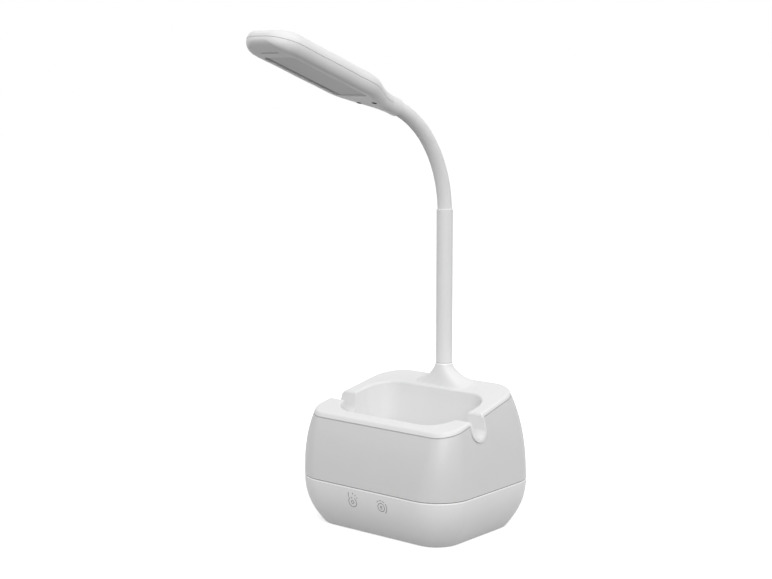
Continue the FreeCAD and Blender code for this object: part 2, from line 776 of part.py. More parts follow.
def mood_band():
    """The translucent band, with a tongue into the bowl and a cut for each slot lip."""
    wall = band_solid(0).cut(band_solid(band_wall)).common(below_rim(-parting_gap))
    tongue_out = shell_wall + fit_gap
    tongue_in = tongue_out + tongue_wall
    height = tongue_depth + tongue_rise
    tongue = prism(bowl_outline(seam_z, tongue_out), height)
    tongue = tongue.cut(prism(bowl_outline(seam_z, tongue_in), height))
    tongue.translate(vec(0, 0, -tongue_depth))
    step = prism(bowl_outline(seam_z, band_wall / 2), tongue_rise)
    step = step.cut(prism(bowl_outline(seam_z, tongue_in), tongue_rise))
    lip = slot_half + slot_lip + slip_gap
    cuts = [slot_profile(lip, slot_floor_z - slot_lip - slip_gap, x, x + reach, 0)
            for x in (bin_half_x / 2, -bin_half_x / 2 - reach)]
    under_rim = band_solid(-reveal_overcut).cut(band_solid(rim_reveal))
    cuts.append(under_rim.cut(below_rim(-parting_gap - rim_reveal)))
    over_seam = prism(bowl_outline(seam_z, -reveal_overcut), seam_reveal)
    cuts.append(over_seam.cut(prism(bowl_outline(seam_z, seam_reveal), seam_reveal)))
    return fuse(wall, tongue, step).cut(cuts)


def top_tray():
    """The tray: deck, bin, slot lips, fairing and the post's boss in one moulding."""
    form = band_solid(0)
    deck = form.common(below_rim(deck_thickness)).cut(below_rim(0))
    top_edges = [edge for edge in deck.Edges if all(on_deck_top(v.Point) for v in edge.Vertexes)]
    deck = deck.makeFillet(deck_edge_r, top_edges)
    overlap = deck_thickness / 4
    outside = bin_solid(bin_wall).common(below_rim(overlap))
    skirt = band_solid(band_wall + slip_gap).cut(band_solid(band_wall + slip_gap + skirt_wall))
    skirt = skirt.common(below_rim(overlap)).cut(below_rim(-skirt_depth))
    proud = band_solid(-slot_lip_proud)
    lips = []
    for x in (bin_half_x - lip_root, -bin_half_x + lip_root - reach / 2):
        bar = slot_profile(slot_half + slot_lip, slot_floor_z - slot_lip, x, x + reach / 2, 0)
        lips.append(bar.common(below_rim(deck_thickness - deck_edge_r)).common(proud))
    boss = cylinder(boss_r, 0, post_y, boss_bottom_z, rim_height(post_y) + overlap)
    posts = [cylinder(tray_post_r, x, y, mid_frame_top_z, bin_floor_z - bin_wall / 2)
             for x, y in tray_screw_places]
    tray = fuse(deck, outside, skirt, *lips, boss, *posts)
    tray = tray.cut(bin_solid(0))
    rim_edges = [edge for edge in tray.Edges if is_bin_edge(edge)]
    tray = tray.makeFillet(bin_edge_r, rim_edges)
    tray = fuse(tray, fairing_solid())
    slots = [slot_profile(slot_half, slot_floor_z, x, x + reach / 2, slot_edge_r)
             for x in (bin_half_x / 2, -bin_half_x / 2 - reach / 2)]
    holes = [cylinder(pilot_r, x, y, mid_frame_z, bin_floor_z - bin_wall / 2) for x, y in tray_screw_places]
    holes.append(cylinder(spigot_r + fit_gap, 0, post_y, boss_bottom_z - sink, post_bottom_z + sink))
    return tray.cut(slots + holes)


def on_deck_top(point):
    return abs(point.z - rim_height(point.y) - deck_thickness) < 0.01


def is_bin_edge(edge):
    """True for the edges between the deck's top and the bin."""
    inside = all(abs(v.Point.x) < bin_half_x + 1.0 and -bin_front_y - 1.0 < v.Point.y < bin_rear_y + 1.0
                 for v in edge.Vertexes)
    return inside and all(on_deck_top(v.Point) for v in edge.Vertexes)


def tray_screws():
    length = bin_floor_z - bin_wall - mid_frame_z
    return Part.Compound([screw(x, y, mid_frame_z, screw_head_height, screw_head_r, pilot_r, length)
                          for x, y in tray_screw_places])


# ---------------------------------------------------------------- post and neck pieces
def neck_post():
    """The rigid tube: a shoulder on the fairing and a threaded spigot through the tray's boss."""
    tube = Part.makeCylinder(post_r, post_top_z - post_bottom_z, vec(0, post_y, post_bottom_z))
    top_edge = [edge for edge in tube.Edges if edge.BoundBox.ZMin > post_top_z - 0.1]
    tube = tube.makeChamfer(0.4, top_edge)
    post = fuse(tube, cylinder(spigot_r, 0, post_y, spigot_end_z, post_bottom_z + 1.0))
    mouth = cylinder(hose_r + fit_gap, 0, post_y, post_top_z - hose_plug, post_top_z + 1.0)
    bore = cylinder(post_bore_r, 0, post_y, spigot_end_z - 1.0, post_top_z)
    return post.cut([mouth, bore])


def post_washer():
    ring = cylinder(washer_r, 0, post_y, boss_bottom_z - washer_thickness, boss_bottom_z)
    return ring.cut(cylinder(spigot_r + fit_gap, 0, post_y, 0, reach))


def post_nut():
    top = boss_bottom_z - washer_thickness
    corner = nut_across_flats / math.sqrt(3)
    points = [vec(corner * math.cos(math.radians(60 * k)), post_y + corner * math.sin(math.radians(60 * k)),
                  top - nut_height) for k in range(7)]
    points[6] = points[0]
    nut = Part.Face(Part.makePolygon(points)).extrude(vec(0, 0, nut_height))
    return nut.cut(cylinder(spigot_r + ledge_gap, 0, post_y, 0, reach))


def straight_end(angle, length, r):
    """A round bar that goes on straight from the neck's bend."""
    return Part.makeCylinder(r, length, neck_point(angle), neck_tangent(angle))


def neck_link(angle0, angle1, r, bore, height, root=0.0, tail=0.0):
    """One link of the hose or of its core: a cup at its lower joint, a ball end at its upper one."""
    body = bend_tube(angle0, angle1, r)
    if root:
        body = fuse(body, cylinder(r, 0, post_y, neck_start_z - root, neck_start_z))
    else:
        body = body.cut(cup_cut(angle0, r))
    if tail:
        body = fuse(body, straight_end(angle1, tail, r))
    else:
        body = fuse(body, ball_end(angle1, r, height))
    hole = fuse(bend_tube(angle0, angle1, bore), straight_end(angle1, tail + r, bore))
    if root:
        hole = fuse(hole, cylinder(bore, 0, post_y, neck_start_z - root - 1.0, neck_start_z))
    else:
        hole = fuse(hole, Part.makeCylinder(bore, r, neck_point(angle0) - neck_tangent(angle0) * r,
                                            neck_tangent(angle0)))
    return body.cut(hole)


def add_neck():
    """Hose and core, cut into links at the joints of the neck."""
    core_ball = core_r * 0.75
    root_hose = hose_plug - (post_top_z - neck_start_z)
    for number in range(joint_count + 1):
        first, last = number == 0, number == joint_count
        low = 0.0 if first else joint_angle(number)
        high = neck_end_angle if last else joint_angle(number + 1)
        name = "root" if first else "head" if last else str(number)
        hose = neck_link(low, high, hose_r, hose_bore_r, ball_height,
                         root_hose if first else 0.0, hose_in_ferrule if last else 0.0)
        if not last:
            hose = hose.cut(mouth_cut(high, ball_height))
        PIECES["neck_hose_" + name] = hose
        PIECES["neck_core_" + name] = neck_link(low, high, core_r, wire_bore_r, core_ball,
                                                root_hose + core_below_hose if first else 0.0,
                                                hose_in_ferrule + core_beyond_hose if last else 0.0)


# ---------------------------------------------------------------- head pieces
def head_ferrule():
    """The sleeve that joins the hose to the head; its spigot is clamped between the shells."""
    axis = vec(0, 1, 0)
    sleeve = Part.makeCylinder(ferrule_r, ferrule_length, vec(0, 0, 0), axis)
    rim = [edge for edge in sleeve.Edges if edge.BoundBox.YMax < 0.1]
    sleeve = sleeve.makeChamfer(ferrule_chamfer, rim)
    piece = fuse(sleeve, Part.makeCylinder(ferrule_spigot_r, ferrule_spigot_length,
                                           vec(0, ferrule_length, 0), axis))
    hose_end = hose_in_ferrule + fit_gap
    cuts = [Part.makeCylinder(hose_r + fit_gap, hose_end, vec(0, 0, 0), axis),
            Part.makeCylinder(core_r + fit_gap, hose_end + core_beyond_hose, vec(0, 0, 0), axis),
            Part.makeCylinder(wire_bore_r + 1.0, reach, vec(0, 0, 0), axis)]
    return piece.cut(cuts)


def head_lower():
    """The lower shell, open under the light window."""
    outer = head_solid(0, ferrule_length)
    half = box(-reach, reach, 0, 2 * reach, -reach, -head_seam_gap / 2)
    inner = head_solid(head_wall, ferrule_length - 1.0)
    shell = outer.common(half).cut(inner)
    bosses = [cylinder(head_screw_hole_r + head_boss_wall, x, y, -head_bottom, -head_seam_gap / 2)
              .common(outer) for x, y in head_boss_places]
    shell = fuse(shell, *bosses)
    cuts = [Part.makeCylinder(ferrule_spigot_r + fit_gap, ferrule_spigot_length + 1.0,
                              vec(0, ferrule_length - 1.0, 0), vec(0, 1, 0)),
            window_plate(0, -reach, 0),
            window_plate(lens_overlap + fit_gap, lens_z, led_board_top),
            slit_cut()]
    for x, y in head_boss_places:
        cuts.append(cylinder(head_screw_hole_r, x, y, -reach, head_screw_seat))
        cuts.append(cylinder(head_shank_r + slip_gap, x, y, -reach, reach))
    return shell.cut(cuts)


def slit_cut():
    fade = math.sqrt(1 - ((slit_at - tip_start) / tip_length) ** 2)
    skin = tip_half_height + (head_bottom - tip_half_height) * fade
    return box(-slit_half, slit_half, slit_at - slit_width / 2, slit_at + slit_width / 2,
               -reach, slit_cut_depth - skin)


def head_cover():
    """The top cover with two ribs that hold the LED board down."""
    outer = head_solid(0, ferrule_length)
    half = box(-reach, reach, 0, 2 * reach, head_seam_gap / 2, reach)
    inner = head_solid(head_wall, ferrule_length - 1.0)
    shell = outer.common(half).cut(inner)
    extras = [cylinder(head_screw_hole_r + head_boss_wall, x, y, head_seam_gap / 2, head_top).common(outer)
              for x, y in head_boss_places]
    for share in rib_shares:
        y = window_start + (window_end - window_start) * share
        extras.append(box(-rib_half, rib_half, y, y + rib_thickness, led_board_top, head_top - head_wall / 2))
    cover = fuse(shell, *extras)
    cuts = [cylinder(head_shank_r, x, y, 0, head_top - head_wall) for x, y in head_boss_places]
    cuts.append(Part.makeCylinder(ferrule_spigot_r + fit_gap, ferrule_spigot_length + 1.0,
                                  vec(0, ferrule_length - 1.0, 0), vec(0, 1, 0)))
    return cover.cut(cuts)


def head_screws():
    pieces = []
    for x, y in head_boss_places:
        pieces.append(screw(x, y, head_screw_seat, head_screw_head_height, head_screw_hole_r - slip_gap,
                            head_shank_r, head_top - head_wall - sink - head_screw_seat))
    return Part.Compound(pieces)


def window_plate(grow, z0, z1):
    return flat_plate(window_half + grow, window_start - grow, window_end + grow,
                      window_corner_r + grow, z0, z1)


def head_lens():
    """The frosted light panel: a flange on the ledge round the window and a pane in the window."""
    flange = window_plate(lens_overlap, lens_z, lens_z + lens_thickness)
    return fuse(flange, window_plate(-fit_gap, lens_z - lens_step, lens_z + sink))


def light_frame():
    """The white frame that holds the LED board off the panel."""
    low = lens_z + lens_thickness
    frame = window_plate(lens_overlap, low, led_board_z)
    return frame.cut(window_plate(lens_overlap - light_frame_wall, low, led_board_z))


def led_board():
    return window_plate(lens_overlap - light_frame_wall / 2, led_board_z, led_board_top)


def head_leds():
    places = [(sx * window_half / 2, window_start + (window_end - window_start) * (k + 0.5) / strip_leds)
              for k in range(strip_leds) for sx in (-1, 1)]
    return Part.Compound([box(x - strip_led_half_x, x + strip_led_half_x, y - strip_led_half_y,
                              y + strip_led_half_y, led_board_z - strip_led_height, led_board_z)
                          for x, y in places])


# ---------------------------------------------------------------- assembly
def build():
    PIECES["base_bowl"] = base_bowl()
    PIECES["grip_pad"] = grip_pad()
    PIECES["case_screws"] = case_screws()
    PIECES["ballast_plate"] = ballast_plate()
    PIECES["ballast_screws"] = ballast_screws()
    PIECES["battery_cell"] = battery_cell()
    PIECES["battery_cradle"] = battery_cradle()
    PIECES["main_board"] = main_board()
    PIECES["board_components"] = board_components()
    PIECES["board_screws"] = board_screws()
    PIECES["usb_socket"] = usb_socket()
    PIECES["touch_board"] = touch_board_blank(0)
    PIECES["touch_pad_left"] = touch_pad(touch_left_x)
    PIECES["touch_pad_right"] = touch_pad(touch_right_x)
    PIECES["mid_frame"] = mid_frame()
    PIECES["mood_ring"] = mood_ring()
    PIECES["mood_leds"] = mood_leds()
    PIECES["mood_band"] = mood_band()
    PIECES["top_tray"] = top_tray()
    PIECES["tray_screws"] = tray_screws()
    PIECES["neck_post"] = neck_post()
    PIECES["post_washer"] = post_washer()
    PIECES["post_nut"] = post_nut()
    add_neck()
    for name, make in (("head_ferrule", head_ferrule), ("head_lower_shell", head_lower),
                       ("head_top_cover", head_cover), ("head_screws", head_screws),
                       ("head_lens", head_lens), ("light_frame", light_frame),
                       ("led_board", led_board), ("head_leds", head_leds)):
        PIECES[name] = head_place(make())


build()
os.makedirs("parts", exist_ok=True)
for name, shape in PIECES.items():
    shape.exportStep("parts/%s.step" % name)
    print("%-20s %2d solids %9.1f mm3 valid %s" % (name, len(shape.Solids), shape.Volume, shape.isValid()))
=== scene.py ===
"""Desk lamp with a storage base: its hose, icons, screws, slit's strip, contacts, finishes and stage."""

import json
import math

import bmesh
import bpy
from bmesh.types import BMEdge, BMFace, BMVert
from bpy.props import FloatProperty, FloatVectorProperty, IntProperty, PointerProperty
from bpy.types import Operator, Panel, PropertyGroup
from mathutils import Matrix, Vector
from mathutils.bvhtree import BVHTree


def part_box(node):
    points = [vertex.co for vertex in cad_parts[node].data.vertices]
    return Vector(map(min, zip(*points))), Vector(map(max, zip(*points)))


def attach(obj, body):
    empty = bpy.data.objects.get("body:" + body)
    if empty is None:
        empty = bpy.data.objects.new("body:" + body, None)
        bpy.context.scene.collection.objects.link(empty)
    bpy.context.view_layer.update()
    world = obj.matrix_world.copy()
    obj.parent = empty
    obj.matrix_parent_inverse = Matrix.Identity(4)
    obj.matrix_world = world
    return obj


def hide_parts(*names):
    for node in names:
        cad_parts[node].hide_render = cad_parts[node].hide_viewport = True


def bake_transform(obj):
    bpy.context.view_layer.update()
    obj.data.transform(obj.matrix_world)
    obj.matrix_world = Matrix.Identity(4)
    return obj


bl_info = {
    "name": "Desk lamp with a storage base",
    "version": (1, 0, 0),
    "blender": (4, 5, 0),
    "location": "View3D > Sidebar > Desk lamp",
    "description": "Dresses a desk lamp: hose, icons, screws, slit's strip, contacts, finishes and stage",
    "category": "Add Mesh",
}

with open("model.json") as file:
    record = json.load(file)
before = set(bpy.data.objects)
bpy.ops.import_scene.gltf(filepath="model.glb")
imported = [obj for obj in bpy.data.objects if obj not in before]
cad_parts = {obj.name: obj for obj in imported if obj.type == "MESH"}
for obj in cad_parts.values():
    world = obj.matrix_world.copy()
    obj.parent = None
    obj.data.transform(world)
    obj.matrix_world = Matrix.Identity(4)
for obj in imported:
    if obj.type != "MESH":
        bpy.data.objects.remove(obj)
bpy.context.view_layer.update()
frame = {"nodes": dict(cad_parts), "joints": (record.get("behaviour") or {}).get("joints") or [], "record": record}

MM = 0.001
SIDE = Vector((1.0, 0.0, 0.0))
UP = Vector((0.0, 0.0, 1.0))
# Vertices of a piece that are closer than MERGE are one, points closer than TOUCH to a plane lie on it, and
# edges with a larger angle than SHARP_ANGLE look sharp.
MERGE = 0.0005 * MM
TOUCH = 0.01 * MM
SHARP_ANGLE = math.radians(32)

# The neck's middle line, which runs straight up out of the post and then forward round a bend, and the bodies
# that follow one another along it.
POST_Y = 33.1 * MM
BEND_START = 219.2066 * MM
BEND_RADIUS = 80.0 * MM
BEND_CENTRE = Vector((0.0, POST_Y - BEND_RADIUS, BEND_START))
BEND_END = math.radians(71.0)

# Steps round the bend in a section of the hose.
SECTION_STEPS = 14

# The materials, which the first operator makes, and the nodes whose finish isn't that of their slot.
FINISHES = {}
OWN_FINISHES = {"head_lens": "frosted_panel", "head_screws": "well_shade_finish"}

# Icons, in mm and degrees from the middle of each ring: arcs are (dx, dz, radius, start, sweep), and strokes
# are (dx, dz, angle, from, to).
LAMP_ICON_ARCS = (
    (0.0, 0.0, 3.5, 122.0, 296.0),
    (0.0, 0.1, 1.15, 0.0, 360.0),
)
LAMP_ICON_STROKES = (
    (-3.3, 3.2, 92.0, 0.0, 3.4),
    (-0.4, 0.2, 90.0, 2.2, 3.6),
    (0.0, 0.0, 84.0, 5.6, 7.0),
    (0.0, 0.0, 62.0, 5.4, 6.6),
    (0.0, 0.0, 40.0, 5.2, 6.2),
)
BAND_ICON_ARCS = (
    (0.0, 0.0, 2.9, 0.0, 360.0),
    (0.2, 0.0, 4.7, -52.0, 92.0),
    (0.0, 0.0, 4.8, 52.0, 22.0),
    (0.0, 0.0, 4.8, 84.0, 22.0),
    (0.0, 0.0, 4.8, 116.0, 22.0),
)
BAND_ICON_STROKES = (
    (-1.2, 0.8, 0.0, 0.0, 2.2),
    (-1.0, -0.1, 0.0, 0.0, 2.0),
    (-0.6, -1.0, 0.0, 0.0, 1.4),
)
ARC_STEP_DEG = 8.0
# The icons are laid on the wall from RAY_FROM_Y, in metres, and their ink is INK_DEPTH times as thick as it
# stands proud, so that its back lies in the wall.
RAY_FROM_Y = -1.0
INK_DEPTH = 1.5

# Heights of the joints of bowl and band, of band and tray over the origin, and of fairing and post.
SEAM_MM = 34.4
RIM_MM = 86.8
RIM_SLOPE = 0.2147
POST_FOOT_MM = 111.1
# Fine lines at the joints, which are 0.2 to 0.5 mm high and are drawn higher so that they show: painted highlights
# at the bowl's rim and the fairing's tip, and painted shade in the band's reveals and at the post's foot.
EDGE_LINE_MM = 0.8
REVEAL_LINE_MM = 0.7
RIM_LINE_MM = 0.5
FOOT_LINE_MM = 0.6
PAINTED_HIGHLIGHT = 0xFFFFFF
REVEAL_SHADE = 0x888888
RIM_SHADE = 0xBABABA
FOOT_SHADE = 0xCCCCCC

# The light panel's half width across the head, and its two long borders over the frame, which carry painted shade.
PANE_HALF_MM = 12.9
PANE_BORDER_MM = 2.0
PANE_SHADE = 0x969696

# A screw's cross recess and outline. CROSS_HALF and FACE_SHARE are shares of the head's radius, as is
# CORNER_REACH, which tells the corners of the recess's grid from its cross. RECESS_DEPTH and EDGE_DROP are
# shares of the head's height, RECESS_TAPER of the recess's width and POINT_SHARE of the shank's radius.
SCREW_AROUND = 24
CROSS_HALF = 0.5
CORNER_REACH = 0.42
FACE_SHARE = 0.86
RECESS_DEPTH = 0.6
RECESS_TAPER = 0.6
EDGE_DROP = 0.18
POINT_SHARE = 0.4
# Screws in the head's wells, which rise above the solids' own so that they show, and screws under the base.
HEAD_SCREW_R = 1.75 * MM
HEAD_SCREW_RISE = 1.12 * MM
HEAD_SCREW_HEIGHT = 1.3 * MM
HEAD_SHANK_R = 1.0 * MM
HEAD_SHANK = 8.3 * MM
CASE_SCREW_R = 2.6 * MM
CASE_SCREW_HEIGHT = 2.0 * MM
CASE_SHANK_R = 1.3 * MM
CASE_SHANK = 15.0 * MM

# The strip in the slit near the head's tip, a dark piece that stands in for the slit's shade, in the head's own
# axes.
SLIT_AT = 128.0 * MM
SLIT_HALF = 7.0 * MM
SLIT_STRIP_R = 0.42 * MM
SLIT_FLOOR = 5.87 * MM
SLIT_STRIP_HEIGHT = 0.81 * MM
SLIT_END_STEPS = 6

# Gold contacts on both faces of the inlet's tongue, and how far their middles lie behind its mouth.
CONTACTS = 12
CONTACT_PITCH = 0.5 * MM
CONTACT_HALF_WIDTH = 0.125 * MM
CONTACT_HALF_LENGTH = 1.65 * MM
CONTACT_INSIDE = 2.9 * MM
CONTACT_RISE = 0.03 * MM
TONGUE_HALF = 0.35 * MM

# How fine the noise of a finish's clouds and grain is, and the values that most of the grain lies between.
CLOUD_DETAIL = 3.0
GRAIN_DETAIL = 2.0
GRAIN_LOW = 0.3
GRAIN_HIGH = 0.7
# The board's copper tracks and the foam's cells.
TRACK_MM = 0.3
TRACK_RUN_MM = 7.0
TRACK_PITCH_MM = 1.27
FOAM_CELL_MM = 0.6

# The floor: half its side in metres, the paper's tones, clouds and roughness, the glow that lifts it to white
# where it is lit, and the distances between which its bounce turns to the far tone.
FLOOR_HALF = 6.0
PAPER = 0xF6F6F6
PAPER_LIGHT = 0xF9F9F9
PAPER_CLOUD_MM = 20.0
PAPER_ROUGHNESS = 0.9
FLOOR_LIFT = 0.45
BOUNCE_FROM_MM = 130.0
BOUNCE_TO_MM = 300.0
# The soft lamps' places, the point that both face, and their widths, in metres.
KEY_POINT = (1.0, 0.45, 1.2)
FILL_POINT = (1.0, -1.25, 1.0)
LIT_POINT = (0.0, -0.02, 0.17)
KEY_WIDTH = 1.2
FILL_WIDTH = 1.4
# Heights in the sky, from -1 below to 1 above, between which the light from below turns to that from above.
GROUND_TO = -0.4
SKY_FROM = 0.8
# The camera: its lens and sensor in mm, the nearest and farthest that it sees and its place in metres, and
# its own axes.
LENS = 71.63
SENSOR = 36.0
NEAREST = 0.05
FARTHEST = 50.0
CAMERA_POINT = Vector((0.6686, -0.8328, 0.3163))
CAMERA_RIGHT = (0.7675, 0.6411, 0.0)
CAMERA_UP = (-0.0883, 0.1058, 0.9905)
CAMERA_BACK = (0.6350, -0.7602, 0.1378)

# Tones of the finishes that few would change, as sRGB hex values.
TONES = {
    "band_shade": 0xD5D5D5,
    "rubber": 0x8A8A8A,
    "rubber_dust": 0x979796,
    "zinc": 0xA9ABAD,
    "zinc_straw": 0xADA89A,
    "mill_scale": 0x6A6D72,
    "mill_scale_dark": 0x53565B,
    "sleeve": 0x3F5F86,
    "sleeve_dark": 0x375478,
    "natural_abs": 0xDAD8D0,
    "natural_abs_shade": 0xD0CEC5,
    "mask": 0x1F6B3A,
    "mask_dark": 0x195B31,
    "track": 0x3F8A52,
    "white_mask": 0xEDEDEA,
    "white_mask_shade": 0xE4E4E0,
    "epoxy": 0x2A2A2C,
    "epoxy_dark": 0x222224,
    "phosphor": 0xE8CF6A,
    "phosphor_pale": 0xEFE09A,
    "nickel": 0xB9BBBC,
    "nickel_dark": 0xA6A8AA,
    "foam": 0x333335,
    "foam_dark": 0x29292B,
    "foam_cell": 0x101010,
    "post_shade": 0xE5E5E5,
    "hose_shade": 0xE8E8E8,
    "aluminium": 0xB4B6B8,
    "aluminium_dark": 0xA2A4A7,
    "reflector": 0xE9E9E6,
    "ink_thin": 0x9C9C9C,
    "acrylic": 0xDEDEDE,
    "acrylic_shade": 0xDADADA,
    "well_shade_dark": 0x1E1E1F,
    "well_shade_pale": 0x262627,
    "slit_shade_dark": 0x303031,
    "slit_shade_pale": 0x38383A,
    "gold": 0xD4AF57,
    "gold_dark": 0xC39D45,
}


def linear(code):
    """The linear colour of an sRGB hex value."""
    parts = [((code >> shift) & 255) / 255 for shift in (16, 8, 0)]
    return tuple(p / 12.92 if p <= 0.04045 else ((p + 0.055) / 1.055) ** 2.4 for p in parts)


def length(name, description, millimetres):
    """A length that a user can change, with its default in millimetres."""
    return FloatProperty(
        name=name, description=description, default=millimetres * MM, min=0.0, unit="LENGTH", precision=5
    )


def colour(name, description, code):
    """A colour that a user can change, with its default as an sRGB hex value."""
    return FloatVectorProperty(
        name=name, description=description, default=linear(code), subtype="COLOR", size=3, min=0.0, max=1.0
    )


def strength(name, description, value):
    """A light's strength that a user can change."""
    return FloatProperty(name=name, description=description, default=value, min=0.0)


class HoseSizes(PropertyGroup):
    outer: length("Outer radius", "Half the thickness of the silicone hose", 5.2)
    inner: length("Inner radius", "Half the hose's bore, which the ball links lie in", 3.6)
    in_post: length("In the post", "How far the hose goes down into the post's mouth", 8.0)
    in_ferrule: length("In the collar", "How far the hose goes into the head's collar", 6.5)
    around: IntProperty(name="Faces around", description="Faces round the hose", default=56, min=12)


class IconSizes(PropertyGroup):
    stroke: length("Stroke", "Width of a printed line", 0.55)
    film: length("Ink", "How proud of the wall the ink stands", 0.05)
    lamp_x: length("Lamp icon", "How far left of the middle the lamp icon is", 10.9)
    mood_x: length("Band icon", "How far right of the middle the band icon is", 15.0)
    lamp_z: length("Lamp icon's height", "Height of the middle of the lamp icon's ring", 24.2)
    mood_z: length("Band icon's height", "Height of the middle of the band icon's ring", 25.1)


class LampColours(PropertyGroup):
    shell: colour("Shell", "White ABS of the base, the tray and the head", 0xE9E9E9)
    shell_shade: colour("Shell, darker cloud", "The darker of the shell's two close tones", 0xE5E5E5)
    band: colour("Band", "Opal light band", 0xD8D8D8)
    hose: colour("Hose", "Silicone of the neck's hose", 0xECECEC)
    post: colour("Post", "Powder coat of the upright tube", 0xE8E8E8)
    ink: colour("Ink", "Printed icons", 0x868686)


class StageLight(PropertyGroup):
    key: strength("Key", "Strength of the soft lamp behind, at the right", 4.6)
    fill: strength("Fill", "Strength of the soft lamp at the front", 15.4)
    sky: strength("Sky", "Strength of the even light from above", 0.72)
    ground: strength("Ground", "Strength of the even light from below", 0.58)
    bounce: colour("Bounce", "Tone of the floor near the base, as it lights the lamp's underside", 0x949494)
    bounce_far: colour("Bounce, far", "The same farther out, which lights the head's underside", 0x545454)


def add_node(tree, kind, settings=None, links=None):
    """A node of that kind, with its settings or socket values, and its sockets linked from other nodes.

    A Mix node's factor is input 0. Its colours are inputs 6 and 7 and output 2, and its numbers are inputs 2
    and 3 and output 0.
    """
    node = tree.nodes.new(kind)
    for name, value in (settings or {}).items():
        if isinstance(name, str) and hasattr(node, name):
            setattr(node, name, value)
        else:
            node.inputs[name].default_value = value
    for name, source in (links or {}).items():
        tree.links.new(source, node.inputs[name])
    return node


def new_tree(name):
    """An empty material and its node tree, with coordinates in millimetres."""
    material = bpy.data.materials.new(name)
    material.use_nodes = True
    tree = material.node_tree
    tree.nodes.clear()
    place = add_node(tree, "ShaderNodeTexCoord")
    scale = {"Scale": (1 / MM, 1 / MM, 1 / MM)}
    in_mm = add_node(tree, "ShaderNodeMapping", scale, {"Vector": place.outputs["Object"]})
    return material, tree, in_mm.outputs["Vector"]


def rgba(tone):
    """A colour with full alpha."""
    return (*tone[:3], 1.0)


def finish(
    name, light, dark, cloud_mm, grain_mm, depth_mm, rough, drift, stretch=(1, 1, 1), over=None, **sockets
):
    """A surface of two close tones in soft clouds, with a grain in its bump and a roughness that drifts."""
    material, tree, place = new_tree(name)
    drawn = add_node(tree, "ShaderNodeMapping", {"Scale": stretch}, {"Vector": place})
    noise = "ShaderNodeTexNoise"
    cloud = add_node(tree, noise, {"Scale": 1 / cloud_mm, "Detail": CLOUD_DETAIL}, {"Vector": place})
    grain = add_node(
        tree, noise, {"Scale": 1 / grain_mm, "Detail": GRAIN_DETAIL}, {"Vector": drawn.outputs["Vector"]}
    )
    tone = add_node(
        tree,
        "ShaderNodeMix",
        {"data_type": "RGBA", 6: rgba(dark), 7: rgba(light)},
        {0: cloud.outputs["Fac"]},
    ).outputs[2]
    if over:
        tone = over(tree, place, tone)
    roughness = add_node(
        tree,
        "ShaderNodeMapRange",
        {"From Min": GRAIN_LOW, "From Max": GRAIN_HIGH, "To Min": rough - drift, "To Max": rough + drift},
        {"Value": grain.outputs["Fac"]},
    )
    bump = add_node(
        tree, "ShaderNodeBump", {"Distance": depth_mm * MM, "Strength": 1.0}, {"Height": grain.outputs["Fac"]}
    )
    shader = add_node(
        tree,
        "ShaderNodeBsdfPrincipled",
        {key.replace("_", " "): value for key, value in sockets.items()},
        {"Base Color": tone, "Roughness": roughness.outputs["Result"], "Normal": bump.outputs["Normal"]},
    )
    add_node(tree, "ShaderNodeOutputMaterial", None, {"Surface": shader.outputs["BSDF"]})
    return material


def copper_tracks(tree, place, tone):
    """Copper tracks under solder mask: lighter lines in staggered runs."""
    tracks = add_node(
        tree,
        "ShaderNodeTexBrick",
        {
            "Scale": 1.0,
            "Mortar": rgba(linear(TONES["track"])),
            "Mortar Size": TRACK_MM / 2,
            "Brick Width": TRACK_RUN_MM,
            "Row Height": TRACK_PITCH_MM,
        },
        {"Vector": place, "Color1": tone, "Color2": tone},
    )
    return tracks.outputs["Color"]


def foam_cells(tree, place, tone):
    """Open cells of cut foam, dark in their middles."""
    cells = add_node(tree, "ShaderNodeTexVoronoi", {"Scale": 1 / FOAM_CELL_MM}, {"Vector": place})
    mixed = add_node(
        tree,
        "ShaderNodeMix",
        {"data_type": "RGBA", 6: rgba(linear(TONES["foam_cell"]))},
        {0: cells.outputs["Distance"], 7: tone},
    )
    return mixed.outputs[2]


def level_line(tree, place, tone, low_mm, high_mm, code, slope=0.0):
    """A line of another tone between two heights, level or climbing towards the rear."""
    heights = add_node(
        tree, "ShaderNodeVectorMath", {"operation": "DOT_PRODUCT", 1: (0.0, -slope, 1.0)}, {0: place}
    )
    inside = add_node(
        tree,
        "ShaderNodeMath",
        {"operation": "COMPARE", 1: (low_mm + high_mm) / 2, 2: (high_mm - low_mm) / 2},
        {0: heights.outputs["Value"]},
    )
    line = add_node(
        tree, "ShaderNodeMix", {"data_type": "RGBA", 7: rgba(linear(code))}, {0: inside.outputs[0], 6: tone}
    )
    return line.outputs[2]


def painted_edge_highlights(tree, place, tone):
    """Painted highlights on the bowl's rim and the fairing's tip: paler lines where these crests catch the light.
    """
    tip = level_line(tree, place, tone, POST_FOOT_MM - EDGE_LINE_MM, POST_FOOT_MM, PAINTED_HIGHLIGHT)
    return level_line(tree, place, tip, SEAM_MM - EDGE_LINE_MM, SEAM_MM, PAINTED_HIGHLIGHT)


def painted_reveal_shade(tree, place, tone):
    """Painted shade in the reveals at the band's two edges: darker lines."""
    top = level_line(tree, place, tone, RIM_MM - RIM_LINE_MM, RIM_MM, RIM_SHADE, RIM_SLOPE)
    return level_line(tree, place, top, SEAM_MM, SEAM_MM + REVEAL_LINE_MM, REVEAL_SHADE)


def foot_shade(tree, place, tone):
    """Painted shade in the joint at the post's foot, against the fairing: a darker line."""
    return level_line(tree, place, tone, POST_FOOT_MM, POST_FOOT_MM + FOOT_LINE_MM, FOOT_SHADE)


